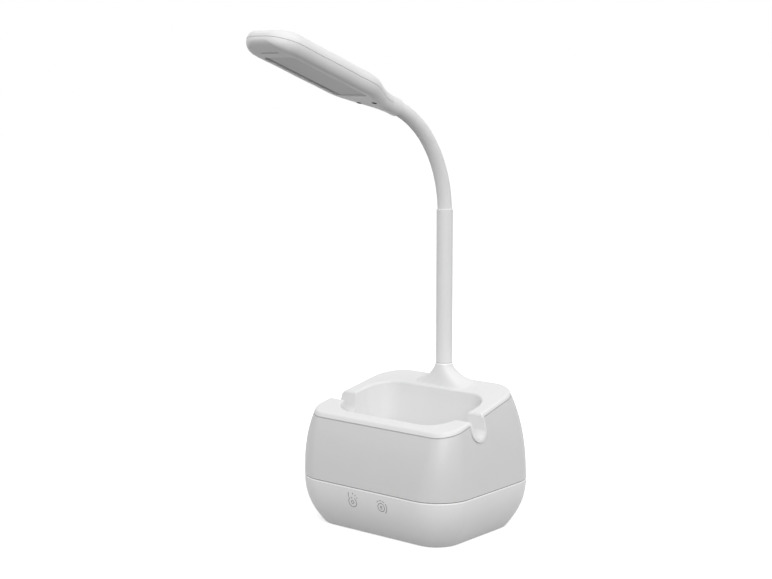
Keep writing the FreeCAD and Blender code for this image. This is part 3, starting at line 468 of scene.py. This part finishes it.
def painted_pane_shade(tree, place, tone):
    """Painted shade along the pane's long borders, which lie over the frame's walls: darker than the rest."""
    across = add_node(tree, "ShaderNodeSeparateXYZ", None, {"Vector": place})
    outward = add_node(tree, "ShaderNodeMath", {"operation": "ABSOLUTE"}, {0: across.outputs["X"]})
    border = add_node(
        tree,
        "ShaderNodeMath",
        {"operation": "GREATER_THAN", 1: PANE_HALF_MM - PANE_BORDER_MM},
        {0: outward.outputs[0]},
    )
    mixed = add_node(
        tree,
        "ShaderNodeMix",
        {"data_type": "RGBA", 7: rgba(linear(PANE_SHADE))},
        {0: border.outputs[0], 6: tone},
    )
    return mixed.outputs[2]


def make_finishes(colours):
    """The lamp's materials, by the record's slot; the last five are the scene's own."""
    shell, shade = colours.shell, colours.shell_shade
    tones = {key: linear(code) for key, code in TONES.items()}
    return {
        # Injection-moulded ABS with a fine spark-eroded texture: soft satin, with no sharp reflection. The
        # real grain is about 0.1 mm, and it is drawn at 0.7 mm so that it shows.
        "white_abs": finish(
            "spark_eroded_white_abs", shell, shade,
            cloud_mm=26.0, grain_mm=0.7, depth_mm=0.012, rough=0.42, drift=0.05,
            # Painted highlights on the bowl's rim and the fairing's tip.
            over=painted_edge_highlights, IOR=1.54,
        ),
        # Opal polycarbonate: light sinks in and comes back out, so its shade is soft and its edges glow.
        "milky_diffuser": finish(
            "opal_polycarbonate", colours.band, tones["band_shade"],
            cloud_mm=34.0, grain_mm=1.2, depth_mm=0.003, rough=0.42, drift=0.02,
            # Painted shade in the reveals at the band's two edges.
            over=painted_reveal_shade, IOR=1.58,
            Subsurface_Weight=0.3, Subsurface_Radius=(1.0, 1.0, 1.0), Subsurface_Scale=0.003,
        ),
        # Moulded nitrile rubber: matt and slightly dusty, with a leather-like skin 1 mm across.
        "grip_rubber": finish(
            "moulded_nitrile_rubber", tones["rubber"], tones["rubber_dust"],
            cloud_mm=9.0, grain_mm=1.0, depth_mm=0.08, rough=0.85, drift=0.08,
            IOR=1.52, Sheen_Weight=0.15,
        ),
        # Zinc-plated steel: cool and bright, with the faint straw cloud of its passivation.
        "screw_steel": finish(
            "zinc_plated_steel", tones["zinc"], tones["zinc_straw"],
            cloud_mm=1.6, grain_mm=0.35, depth_mm=0.004, rough=0.34, drift=0.08, Metallic=1.0,
        ),
        # Hot-rolled steel plate: dark scale with long rolling marks.
        "ballast_steel": finish(
            "hot_rolled_steel", tones["mill_scale"], tones["mill_scale_dark"],
            cloud_mm=12.0, grain_mm=0.8, depth_mm=0.02, rough=0.5, drift=0.12,
            stretch=(0.12, 1.0, 1.0), Metallic=1.0,
        ),
        # Heat-shrunk PVC sleeve on a cell: thin, glossy, with faint draw lines round it.
        "cell_can": finish(
            "heat_shrunk_pvc", tones["sleeve"], tones["sleeve_dark"],
            cloud_mm=14.0, grain_mm=0.9, depth_mm=0.02, rough=0.24, drift=0.06,
            stretch=(3.0, 0.3, 0.3), IOR=1.53,
        ),
        # Unpolished ABS inside the case: the same plastic, a little yellower and glossier.
        "inner_abs": finish(
            "tool_finish_abs", tones["natural_abs"], tones["natural_abs_shade"],
            cloud_mm=18.0, grain_mm=1.4, depth_mm=0.015, rough=0.38, drift=0.08, IOR=1.54,
        ),
        # Glass-epoxy board under green solder mask: glossy, with copper tracks as lighter lines.
        "circuit_board": finish(
            "solder_masked_board", tones["mask"], tones["mask_dark"],
            cloud_mm=6.0, grain_mm=0.5, depth_mm=0.01, rough=0.28, drift=0.06,
            over=copper_tracks, IOR=1.55,
        ),
        # White solder mask on an aluminium board: flat white that throws the light back.
        "white_board": finish(
            "white_masked_board", tones["white_mask"], tones["white_mask_shade"],
            cloud_mm=7.0, grain_mm=0.5, depth_mm=0.008, rough=0.36, drift=0.05, IOR=1.55,
        ),
        # Moulded epoxy packages: charcoal with a matt, faintly gritty top.
        "chip_black": finish(
            "moulded_epoxy_package", tones["epoxy"], tones["epoxy_dark"],
            cloud_mm=2.5, grain_mm=0.25, depth_mm=0.01, rough=0.6, drift=0.08, IOR=1.55,
        ),
        # Phosphor-filled silicone: a warm yellow pad in which the grains of phosphor just show.
        "led_white": finish(
            "phosphor_silicone", tones["phosphor"], tones["phosphor_pale"],
            cloud_mm=1.0, grain_mm=0.2, depth_mm=0.01, rough=0.4, drift=0.06, IOR=1.41,
            Subsurface_Weight=0.3, Subsurface_Radius=(1.0, 0.8, 0.4), Subsurface_Scale=0.0006,
        ),
        # Nickel-plated stamped steel: bright, with fine draw lines along its depth.
        "socket_steel": finish(
            "nickel_plated_steel", tones["nickel"], tones["nickel_dark"],
            cloud_mm=3.0, grain_mm=0.3, depth_mm=0.003, rough=0.24, drift=0.06,
            stretch=(1.0, 0.15, 1.0), Metallic=1.0,
        ),
        # Conductive polyurethane foam: matt charcoal with open cells.
        "foam_black": finish(
            "conductive_foam", tones["foam"], tones["foam_dark"],
            cloud_mm=3.0, grain_mm=0.6, depth_mm=0.1, rough=0.9, drift=0.05,
            over=foam_cells, IOR=1.45,
        ),
        # Epoxy-polyester powder coat on steel tube: satin with a soft orange peel 1.5 mm across.
        "post_paint": finish(
            "powder_coated_steel", colours.post, tones["post_shade"],
            cloud_mm=22.0, grain_mm=1.5, depth_mm=0.012, rough=0.38, drift=0.03,
            # Painted shade at the post's foot.
            over=foot_shade, IOR=1.5,
        ),
        # Moulded silicone rubber: matt and soft, with a trace of dust bloom.
        "hose_silicone": finish(
            "moulded_silicone", colours.hose, tones["hose_shade"],
            cloud_mm=12.0, grain_mm=0.8, depth_mm=0.012, rough=0.55, drift=0.06, IOR=1.41, Sheen_Weight=0.08,
            Subsurface_Weight=0.08, Subsurface_Radius=(1.0, 1.0, 1.0), Subsurface_Scale=0.001,
        ),
        # Turned aluminium: bright with fine rings of the cutting tool.
        "core_metal": finish(
            "turned_aluminium", tones["aluminium"], tones["aluminium_dark"],
            cloud_mm=4.0, grain_mm=0.3, depth_mm=0.006, rough=0.3, drift=0.08, Metallic=1.0,
        ),
        # Smooth ABS from a polished tool: the same white, a little glossier than the shells.
        "ferrule_white": finish(
            "polished_tool_abs", shell, shade,
            cloud_mm=10.0, grain_mm=1.1, depth_mm=0.004, rough=0.36, drift=0.015, IOR=1.54,
        ),
        # White reflector-grade polycarbonate round the light panel: dense, flat white.
        "frame_white": finish(
            "reflector_polycarbonate", tones["reflector"], tones["white_mask_shade"],
            cloud_mm=9.0, grain_mm=0.9, depth_mm=0.006, rough=0.45, drift=0.05, IOR=1.58,
        ),
        # Pad-printed ink: a thin grey film, a little drier than the shell, with a faint mottle of cover.
        "printed_ink": finish(
            "pad_printed_ink", colours.ink, tones["ink_thin"],
            cloud_mm=0.9, grain_mm=0.3, depth_mm=0.004, rough=0.6, drift=0.05, IOR=1.5,
        ),
        # Frosted acrylic over an unlit board: greyer than the shells, with a soft sheen, and light sinks in.
        "frosted_panel": finish(
            "frosted_acrylic", tones["acrylic"], tones["acrylic_shade"],
            cloud_mm=16.0, grain_mm=0.8, depth_mm=0.008, rough=0.5, drift=0.05,
            # Painted shade along the pane's two long borders.
            over=painted_pane_shade, IOR=1.49,
            Subsurface_Weight=0.2, Subsurface_Radius=(1.0, 1.0, 1.0), Subsurface_Scale=0.001,
        ),
        # A thin dark dry skin on the head's screws, a little paler where it is worn; its darkness is painted shade
        # that makes their wells read dark.
        "well_shade_finish": finish(
            "painted_well_shade", tones["well_shade_dark"], tones["well_shade_pale"],
            cloud_mm=1.2, grain_mm=0.3, depth_mm=0.004, rough=0.8, drift=0.08,
            IOR=1.5, Specular_IOR_Level=0.25,
        ),
        # A dark, matt finish with a slightly paler cloud for the strip in the slit: painted shade, so that the
        # slit reads as a dark line.
        "slit_shade_finish": finish(
            "painted_slit_shade", tones["slit_shade_dark"], tones["slit_shade_pale"],
            cloud_mm=2.0, grain_mm=0.3, depth_mm=0.01, rough=0.85, drift=0.05, IOR=1.5,
        ),
        # Gold flash over nickel: warm bright contact faces.
        "gold_plate": finish(
            "gold_flashed_contact", tones["gold"], tones["gold_dark"],
            cloud_mm=0.8, grain_mm=0.15, depth_mm=0.001, rough=0.22, drift=0.05, Metallic=1.0,
        ),
    }


def new_piece(name, bm, body, material):
    """A finished piece from a bmesh: closed, faces outward, smooth, in place, riding on its body."""
    bmesh.ops.remove_doubles(bm, verts=bm.verts, dist=MERGE)
    bmesh.ops.recalc_face_normals(bm, faces=bm.faces)
    mesh = bpy.data.meshes.new(name)
    bm.to_mesh(mesh)
    bm.free()
    mesh.materials.append(material)
    mesh.shade_smooth()
    mesh.set_sharp_from_angle(angle=SHARP_ANGLE)
    piece = bpy.data.objects.new(name, mesh)
    bpy.context.scene.collection.objects.link(piece)
    if body:
        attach(piece, body)
    return piece


def of_type(kind, items):
    """The vertices, edges or faces among what an operator made."""
    return [item for item in items if isinstance(item, kind)]


def edges_at(verts):
    """The edges at some vertices, each once."""
    return list(dict.fromkeys(edge for vert in verts for edge in vert.link_edges))


def faces_at(verts):
    """The faces at some vertices, each once."""
    return list(dict.fromkeys(face for vert in verts for face in vert.link_faces))


def grow_edges(bm, edges):
    """Extrudes edges, and gives the far edges and their vertices, still at the old place."""
    grown = bmesh.ops.extrude_edge_only(bm, edges=edges)["geom"]
    moved = of_type(BMVert, grown)
    far = [edge for edge in of_type(BMEdge, grown) if all(vert in moved for vert in edge.verts)]
    return far, moved


def run_on(bm, faces, way):
    """Carries faces straight on, with walls behind them."""
    grown = bmesh.ops.extrude_face_region(bm, geom=faces)["geom"]
    bmesh.ops.translate(bm, verts=of_type(BMVert, grown), vec=way)


def on_bend(angle):
    """The point of the neck's middle line at an angle of its bend."""
    return BEND_CENTRE + Matrix.Rotation(angle, 3, "X") @ Vector((0.0, BEND_RADIUS, 0.0))


def along_bend(angle):
    """The way that the neck runs at an angle of its bend."""
    return Matrix.Rotation(angle, 3, "X") @ UP


def joint_angle(joint):
    """Where a neck joint lies on the bend, from its point."""
    point = Vector(joint["pos_m"]) - BEND_CENTRE
    return math.atan2(point.z, point.y)


class LAMP_OT_finishes(Operator):
    """Gives every piece of the lamp its material"""

    bl_idname = "lamp.finishes"
    bl_label = "Finishes"

    def execute(self, context):
        FINISHES.update(make_finishes(context.scene.lamp_colours))
        slots = {part["node"]: part["material_slot"] for part in frame["record"]["subparts"]}
        for name, piece in frame["nodes"].items():
            piece.data.materials.clear()
            piece.data.materials.append(FINISHES[OWN_FINISHES.get(name, slots[name])])
        return {"FINISHED"}


def hose_ring(bm, sizes, angle):
    """A flat ring as thick as the hose's wall, square to the neck at an angle of its bend."""
    place = Matrix.Translation(on_bend(angle)) @ Matrix.Rotation(angle, 4, "X")
    rings = []
    for radius in (sizes.outer, sizes.inner):
        circle = bmesh.ops.create_circle(bm, segments=sizes.around, radius=radius, matrix=place)["verts"]
        rings += edges_at(circle)
    return bmesh.ops.bridge_loops(bm, edges=rings)["faces"]


def hose_bend(bm, ring, sweep):
    """Sweeps a ring of faces on round the bend, and gives the faces at its end."""
    edges = [edge for face in ring for edge in face.edges]
    verts = [vert for face in ring for vert in face.verts]
    spun = bmesh.ops.spin(
        bm,
        geom=list(dict.fromkeys([*ring, *edges, *verts])),
        cent=BEND_CENTRE,
        axis=SIDE,
        angle=sweep,
        steps=SECTION_STEPS,
    )
    return of_type(BMFace, spun["geom_last"])


class LAMP_OT_hose(Operator):
    """Makes the silicone hose in sections, one for each of the neck's joints"""

    bl_idname = "lamp.hose"
    bl_label = "Hose"

    def execute(self, context):
        sizes = context.scene.lamp_hose
        angles = [joint_angle(joint) for joint in frame["joints"]]
        half_step = (angles[1] - angles[0]) / 2
        # Neighbouring sections meet halfway between their joints.
        cuts = [0.0, *[angle + half_step for angle in angles[:-1]], BEND_END]
        for k, angle in enumerate(angles):
            bm = bmesh.new()
            ring = hose_ring(bm, sizes, cuts[k])
            if k == 0:
                run_on(bm, ring, -along_bend(0.0) * sizes.in_post)
                ring = [f for f in bm.faces if all(abs(v.co.z - BEND_START) < TOUCH for v in f.verts)]
            last = hose_bend(bm, ring, cuts[k + 1] - cuts[k])
            if k == len(angles) - 1:
                run_on(bm, last, along_bend(BEND_END) * sizes.in_ferrule)
                # The faces that the collar's stretch grew from would stay inside the wall.
                bmesh.ops.delete(bm, geom=last, context="FACES")
            piece = new_piece(f"hose_section_{k + 1}", bm, None, FINISHES["hose_silicone"])
            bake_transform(piece)
            if k == 0:
                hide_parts(*[name for name in frame["nodes"] if name.startswith("neck_hose")])
        return {"FINISHED"}


def arc(bm, x, z, radius, start, sweep, width):
    """A printed line along an arc, flat in the plane of X and Z, with angles in degrees up from the right."""
    way = Vector((math.cos(math.radians(start)), 0.0, math.sin(math.radians(start))))
    middle = Vector((x, 0.0, z))
    inner = bm.verts.new(middle + way * (radius - width / 2))
    outer = bm.verts.new(middle + way * (radius + width / 2))
    edge = bm.edges.new((inner, outer))
    steps = max(2, round(abs(sweep) / ARC_STEP_DEG))
    bmesh.ops.spin(
        bm,
        geom=[inner, outer, edge],
        cent=middle,
        axis=(0.0, -1.0, 0.0),
        angle=math.radians(sweep),
        steps=steps,
        use_merge=abs(sweep) >= 360,
    )


def stroke(bm, x, z, angle, start, end, width):
    """A printed straight line out from a ring's middle, flat in the plane of X and Z."""
    way = Vector((math.cos(math.radians(angle)), 0.0, math.sin(math.radians(angle))))
    across = Vector((-way.z, 0.0, way.x)) * width / 2
    middle = Vector((x, 0.0, z))
    ends = [bm.verts.new(middle + way * start + across), bm.verts.new(middle + way * start - across)]
    edges = [bm.edges.new(ends)]
    steps = max(1, round((end - start) / width))
    for _ in range(steps):
        edges, moved = grow_edges(bm, edges)
        bmesh.ops.translate(bm, verts=moved, vec=way * (end - start) / steps)


def lay_on_wall(bm, wall, proud):
    """Lays flat marks on the bowl's front wall and gives them the thickness of the ink."""
    for vert in bm.verts:
        hit, normal, _, _ = wall.ray_cast(Vector((vert.co.x, RAY_FROM_Y, vert.co.z)), Vector((0.0, 1.0, 0.0)))
        if hit is None:
            raise RuntimeError("an icon's line runs off the bowl's front wall")
        vert.co = hit + normal * proud
    bmesh.ops.recalc_face_normals(bm, faces=bm.faces)
    if sum(face.normal.y for face in bm.faces) > 0:
        bmesh.ops.reverse_faces(bm, faces=bm.faces)
    bmesh.ops.solidify(bm, geom=list(bm.faces), thickness=proud * INK_DEPTH)


class LAMP_OT_icons(Operator):
    """Prints the two touch icons on the front of the bowl: one for the lamp and one for the light band"""

    bl_idname = "lamp.icons"
    bl_label = "Touch icons"

    def execute(self, context):
        sizes = context.scene.lamp_icons
        wall = BVHTree.FromObject(frame["nodes"]["base_bowl"], context.evaluated_depsgraph_get())
        for name, x, z, arcs, strokes in (
            ("lamp_icon", -sizes.lamp_x, sizes.lamp_z, LAMP_ICON_ARCS, LAMP_ICON_STROKES),
            ("band_icon", sizes.mood_x, sizes.mood_z, BAND_ICON_ARCS, BAND_ICON_STROKES),
        ):
            bm = bmesh.new()
            for dx, dz, radius, start, sweep in arcs:
                arc(bm, x + dx * MM, z + dz * MM, radius * MM, start, sweep, sizes.stroke)
            for dx, dz, angle, start, end in strokes:
                stroke(bm, x + dx * MM, z + dz * MM, angle, start * MM, end * MM, sizes.stroke)
            lay_on_wall(bm, wall, sizes.film)
            new_piece(name, bm, "base", FINISHES["printed_ink"])
        return {"FINISHED"}


def cross_recess(bm, radius, height):
    """The flat face of a screw's head round a cross recess, and the edges round that face."""
    grid = bmesh.ops.create_grid(bm, x_segments=3, y_segments=3, size=radius * CROSS_HALF)["verts"]
    corners = [face for face in faces_at(grid) if face.calc_center_median().length > radius * CORNER_REACH]
    bmesh.ops.delete(bm, geom=corners, context="FACES")
    cross = faces_at([vert for vert in grid if vert.is_valid])
    inner = [edge for edge in dict.fromkeys(e for face in cross for e in face.edges) if edge.is_boundary]
    circle = bmesh.ops.create_circle(bm, segments=SCREW_AROUND, radius=radius * FACE_SHARE)["verts"]
    outer = edges_at(circle)
    bmesh.ops.bridge_loops(bm, edges=[*inner, *outer])
    pit = of_type(BMVert, bmesh.ops.extrude_face_region(bm, geom=cross)["geom"])
    bmesh.ops.translate(bm, verts=pit, vec=(0.0, 0.0, -height * RECESS_DEPTH))
    bmesh.ops.scale(bm, verts=pit, vec=(RECESS_TAPER, RECESS_TAPER, 1.0))
    # The faces that the pit grew from would stay as a lid over it.
    bmesh.ops.delete(bm, geom=cross, context="FACES")
    return outer


def cross_screw(bm, point, way, head_radius, head_height, shank_radius, shank_length):
    """A pan screw with a cross recess: its face lies at a point and its shank runs along a direction."""
    before = set(bm.verts)
    edges = cross_recess(bm, head_radius, head_height)
    # Ring by ring down the outside: the share of the last ring's radius, and how far below it the next lies.
    for radius_share, drop in (
        (1.0 / FACE_SHARE, head_height * EDGE_DROP),
        (1.0, head_height * (1.0 - EDGE_DROP)),
        (shank_radius / head_radius, 0.0),
        (1.0, shank_length),
        (POINT_SHARE, shank_radius),
    ):
        edges, moved = grow_edges(bm, edges)
        bmesh.ops.scale(bm, verts=moved, vec=(radius_share, radius_share, 1.0))
        bmesh.ops.translate(bm, verts=moved, vec=(0.0, 0.0, -drop))
    bmesh.ops.contextual_create(bm, geom=edges)
    turn = (-UP).rotation_difference(way).to_matrix().to_4x4()
    place = Matrix.Translation(point) @ turn
    bmesh.ops.transform(bm, matrix=place, verts=[vert for vert in bm.verts if vert not in before])


def screw_face(node, side, way):
    """The middle of the outer face of the screw on one side, as it lies in the frame."""
    own = [vert.co for vert in frame["nodes"][node].data.vertices if vert.co.x * side > 0]
    reach = max(co.dot(way) for co in own)
    face = [co for co in own if co.dot(way) > reach - TOUCH]
    return sum(face, Vector()) / len(face)


class LAMP_OT_screws(Operator):
    """Makes the screws that show, in the head's wells and under the base, with their cross recesses"""

    bl_idname = "lamp.screws"
    bl_label = "Screws"

    def execute(self, context):
        down = SIDE.cross(along_bend(BEND_END))
        bm = bmesh.new()
        for side in (-1, 1):
            point = screw_face("head_screws", side, down) + down * HEAD_SCREW_RISE
            height = HEAD_SCREW_HEIGHT + HEAD_SCREW_RISE
            cross_screw(bm, point, -down, HEAD_SCREW_R, height, HEAD_SHANK_R, HEAD_SHANK)
        # The head's screws take a dark finish that paints the shade of their wells.
        screws = new_piece("head_cross_screws", bm, "head", FINISHES["well_shade_finish"])
        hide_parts("head_screws")
        low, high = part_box("case_screws")
        bm = bmesh.new()
        for x in (low.x + CASE_SCREW_R, high.x - CASE_SCREW_R):
            for y in (low.y + CASE_SCREW_R, high.y - CASE_SCREW_R):
                point = Vector((x, y, low.z))
                cross_screw(bm, point, UP, CASE_SCREW_R, CASE_SCREW_HEIGHT, CASE_SHANK_R, CASE_SHANK)
        screws = new_piece("case_cross_screws", bm, "base", FINISHES["screw_steel"])
        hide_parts("case_screws")
        return {"FINISHED"}


def head_axes():
    """The head's own axes: X across it, Y from the neck to the tip and Z out of its underside."""
    along = along_bend(BEND_END)
    turn = Matrix([SIDE, along, SIDE.cross(along)]).transposed()
    return Matrix.Translation(on_bend(BEND_END)) @ turn.to_4x4()


class LAMP_OT_slit(Operator):
    """Lays a dark strip on the floor of the slit near the head's tip, as painted shade inside the slit"""

    bl_idname = "lamp.slit"
    bl_label = "Slit's strip"

    def execute(self, context):
        bm = bmesh.new()
        outline = []
        for side in (1, -1):
            for k in range(SLIT_END_STEPS + 1):
                angle = math.pi * (k / SLIT_END_STEPS - 0.5)
                x = side * (SLIT_HALF + SLIT_STRIP_R * math.cos(angle))
                outline.append(bm.verts.new((x, SLIT_AT + side * SLIT_STRIP_R * math.sin(angle), SLIT_FLOOR)))
        floor = bmesh.ops.contextual_create(bm, geom=outline)["faces"]
        run_on(bm, floor, Vector((0.0, 0.0, SLIT_STRIP_HEIGHT)))
        bmesh.ops.transform(bm, matrix=head_axes(), verts=bm.verts)
        new_piece("slit_shade_strip", bm, "head", FINISHES["slit_shade_finish"])
        return {"FINISHED"}


class LAMP_OT_contacts(Operator):
    """Lays the gold contacts on both faces of the charging inlet's tongue"""

    bl_idname = "lamp.contacts"
    bl_label = "Inlet contacts"

    def execute(self, context):
        low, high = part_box("usb_socket")
        middle_z = (low.z + high.z) / 2
        shape = Matrix.Diagonal((CONTACT_HALF_WIDTH, CONTACT_HALF_LENGTH, 1.0, 1.0))
        bm = bmesh.new()
        for side in (-1, 1):
            for k in range(CONTACTS):
                x = (k - (CONTACTS - 1) / 2) * CONTACT_PITCH
                place = Matrix.Translation((x, high.y - CONTACT_INSIDE, middle_z + side * TONGUE_HALF))
                strip = bmesh.ops.create_grid(bm, x_segments=1, y_segments=3, size=1.0, matrix=place @ shape)
                run_on(bm, faces_at(strip["verts"]), Vector((0.0, 0.0, side * CONTACT_RISE)))
        new_piece("inlet_contacts", bm, "base", FINISHES["gold_plate"])
        return {"FINISHED"}


def soft_lamp(name, point, width, watts):
    """Adds a square soft lamp at a point, facing the lit one."""
    data = bpy.data.lights.new(name, "AREA")
    data.size = width
    data.energy = watts
    lamp = bpy.data.objects.new(name, data)
    lamp.location = point
    lamp.rotation_mode = "QUATERNION"
    lamp.rotation_quaternion = (Vector(LIT_POINT) - Vector(point)).to_track_quat("-Z", "Y")
    bpy.context.scene.collection.objects.link(lamp)


def seen_directly(tree):
    """1 for camera, glossy and transmission rays, and 0 for the light that falls on the lamp."""
    path = add_node(tree, "ShaderNodeLightPath")
    seen = path.outputs["Is Camera Ray"]
    for name in ("Is Glossy Ray", "Is Transmission Ray"):
        either = add_node(tree, "ShaderNodeMath", {"operation": "MAXIMUM"}, {0: seen, 1: path.outputs[name]})
        seen = either.outputs[0]
    return seen


def paper_sweep(light):
    """Matt white paper, even but for soft clouds, that throws back less light than it shows the camera."""
    material, tree, place = new_tree("white_paper_sweep")
    seen = seen_directly(tree)
    fibre = add_node(
        tree, "ShaderNodeTexNoise", {"Scale": 1 / PAPER_CLOUD_MM, "Detail": GRAIN_DETAIL}, {"Vector": place}
    )
    paper = add_node(
        tree,
        "ShaderNodeMix",
        {"data_type": "RGBA", 6: rgba(linear(PAPER)), 7: rgba(linear(PAPER_LIGHT))},
        {0: fibre.outputs["Fac"]},
    )
    away = add_node(tree, "ShaderNodeVectorMath", {"operation": "LENGTH"}, {"Vector": place})
    far = add_node(
        tree,
        "ShaderNodeMapRange",
        {"From Min": BOUNCE_FROM_MM, "From Max": BOUNCE_TO_MM},
        {"Value": away.outputs["Value"]},
    )
    bounce = add_node(
        tree,
        "ShaderNodeMix",
        {"data_type": "RGBA", 6: rgba(light.bounce), 7: rgba(light.bounce_far)},
        {0: far.outputs["Result"]},
    )
    tone = add_node(
        tree, "ShaderNodeMix", {"data_type": "RGBA"}, {0: seen, 6: bounce.outputs[2], 7: paper.outputs[2]}
    )
    lift = add_node(tree, "ShaderNodeMath", {"operation": "MULTIPLY", 1: FLOOR_LIFT}, {0: seen})
    shader = add_node(
        tree,
        "ShaderNodeBsdfPrincipled",
        {"Roughness": PAPER_ROUGHNESS, "Specular IOR Level": 0.0, "Emission Color": (1.0, 1.0, 1.0, 1.0)},
        {"Base Color": tone.outputs[2], "Emission Strength": lift.outputs[0]},
    )
    add_node(tree, "ShaderNodeOutputMaterial", None, {"Surface": shader.outputs["BSDF"]})
    return material


def studio_world(light):
    """The even light from above and below, which the camera sees as white."""
    world = bpy.data.worlds.new("studio")
    world.use_nodes = True
    tree = world.node_tree
    tree.nodes.clear()
    seen = seen_directly(tree)
    way = add_node(tree, "ShaderNodeTexCoord")
    parts = add_node(tree, "ShaderNodeSeparateXYZ", None, {"Vector": way.outputs["Generated"]})
    height = add_node(
        tree,
        "ShaderNodeMapRange",
        {"From Min": GROUND_TO, "From Max": SKY_FROM, "To Min": light.ground, "To Max": light.sky},
        {"Value": parts.outputs["Z"]},
    )
    power = add_node(
        tree, "ShaderNodeMix", {"data_type": "FLOAT", 3: 1.0}, {0: seen, 2: height.outputs["Result"]}
    )
    back = add_node(
        tree, "ShaderNodeBackground", {"Color": (1.0, 1.0, 1.0, 1.0)}, {"Strength": power.outputs[0]}
    )
    add_node(tree, "ShaderNodeOutputWorld", None, {"Surface": back.outputs["Background"]})
    return world


def stage_camera():
    """The camera, in its place."""
    camera = bpy.data.objects.new("camera", bpy.data.cameras.new("camera"))
    camera.data.lens = LENS
    camera.data.sensor_width = SENSOR
    camera.data.clip_start = NEAREST
    camera.data.clip_end = FARTHEST
    turn = Matrix([CAMERA_RIGHT, CAMERA_UP, CAMERA_BACK]).transposed()
    camera.matrix_world = Matrix.Translation(CAMERA_POINT) @ turn.to_4x4()
    return camera


class LAMP_OT_stage(Operator):
    """Lays the pale floor and sets the studio light and the camera"""

    bl_idname = "lamp.stage"
    bl_label = "Floor, light and camera"

    def execute(self, context):
        scene = context.scene
        light = scene.lamp_light
        bm = bmesh.new()
        bmesh.ops.create_grid(bm, x_segments=2, y_segments=2, size=FLOOR_HALF)
        floor = new_piece("floor", bm, None, paper_sweep(light))
        soft_lamp("key_lamp", KEY_POINT, KEY_WIDTH, light.key)
        soft_lamp("fill_lamp", FILL_POINT, FILL_WIDTH, light.fill)
        scene.world = studio_world(light)
        camera = stage_camera()
        scene.collection.objects.link(camera)
        scene.camera = camera
        scene.view_settings.view_transform = "Standard"
        return {"FINISHED"}


class LAMP_PT_panel(Panel):
    """Lists the lamp's sizes, colours and steps in the sidebar"""

    bl_idname = "LAMP_PT_panel"
    bl_label = "Desk lamp"
    bl_space_type = "VIEW_3D"
    bl_region_type = "UI"
    bl_category = "Desk lamp"

    def draw(self, context):
        scene = context.scene
        for title, group in (
            ("Hose", scene.lamp_hose),
            ("Icons", scene.lamp_icons),
            ("Colours", scene.lamp_colours),
            ("Light", scene.lamp_light),
        ):
            box = self.layout.box()
            box.label(text=title)
            for name in group.__annotations__:
                box.prop(group, name)
        for step in STEPS:
            self.layout.operator(step.bl_idname)


STEPS = [
    LAMP_OT_finishes,
    LAMP_OT_hose,
    LAMP_OT_icons,
    LAMP_OT_screws,
    LAMP_OT_slit,
    LAMP_OT_contacts,
    LAMP_OT_stage,
]
GROUPS = {
    "lamp_hose": HoseSizes,
    "lamp_icons": IconSizes,
    "lamp_colours": LampColours,
    "lamp_light": StageLight,
}


def register():
    for group in GROUPS.values():
        bpy.utils.register_class(group)
    for name, group in GROUPS.items():
        setattr(bpy.types.Scene, name, PointerProperty(type=group))
    for item in [*STEPS, LAMP_PT_panel]:
        bpy.utils.register_class(item)


def unregister():
    for item in [LAMP_PT_panel, *reversed(STEPS)]:
        bpy.utils.unregister_class(item)
    for name in GROUPS:
        delattr(bpy.types.Scene, name)
    for group in GROUPS.values():
        bpy.utils.unregister_class(group)


def main():
    """Dresses the lamp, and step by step."""
    register()
    bpy.ops.lamp.finishes()
    bpy.ops.lamp.hose()
    bpy.ops.lamp.icons()
    bpy.ops.lamp.screws()
    bpy.ops.lamp.slit()
    bpy.ops.lamp.contacts()
    bpy.ops.lamp.stage()


if __name__ == "__main__":
    main()
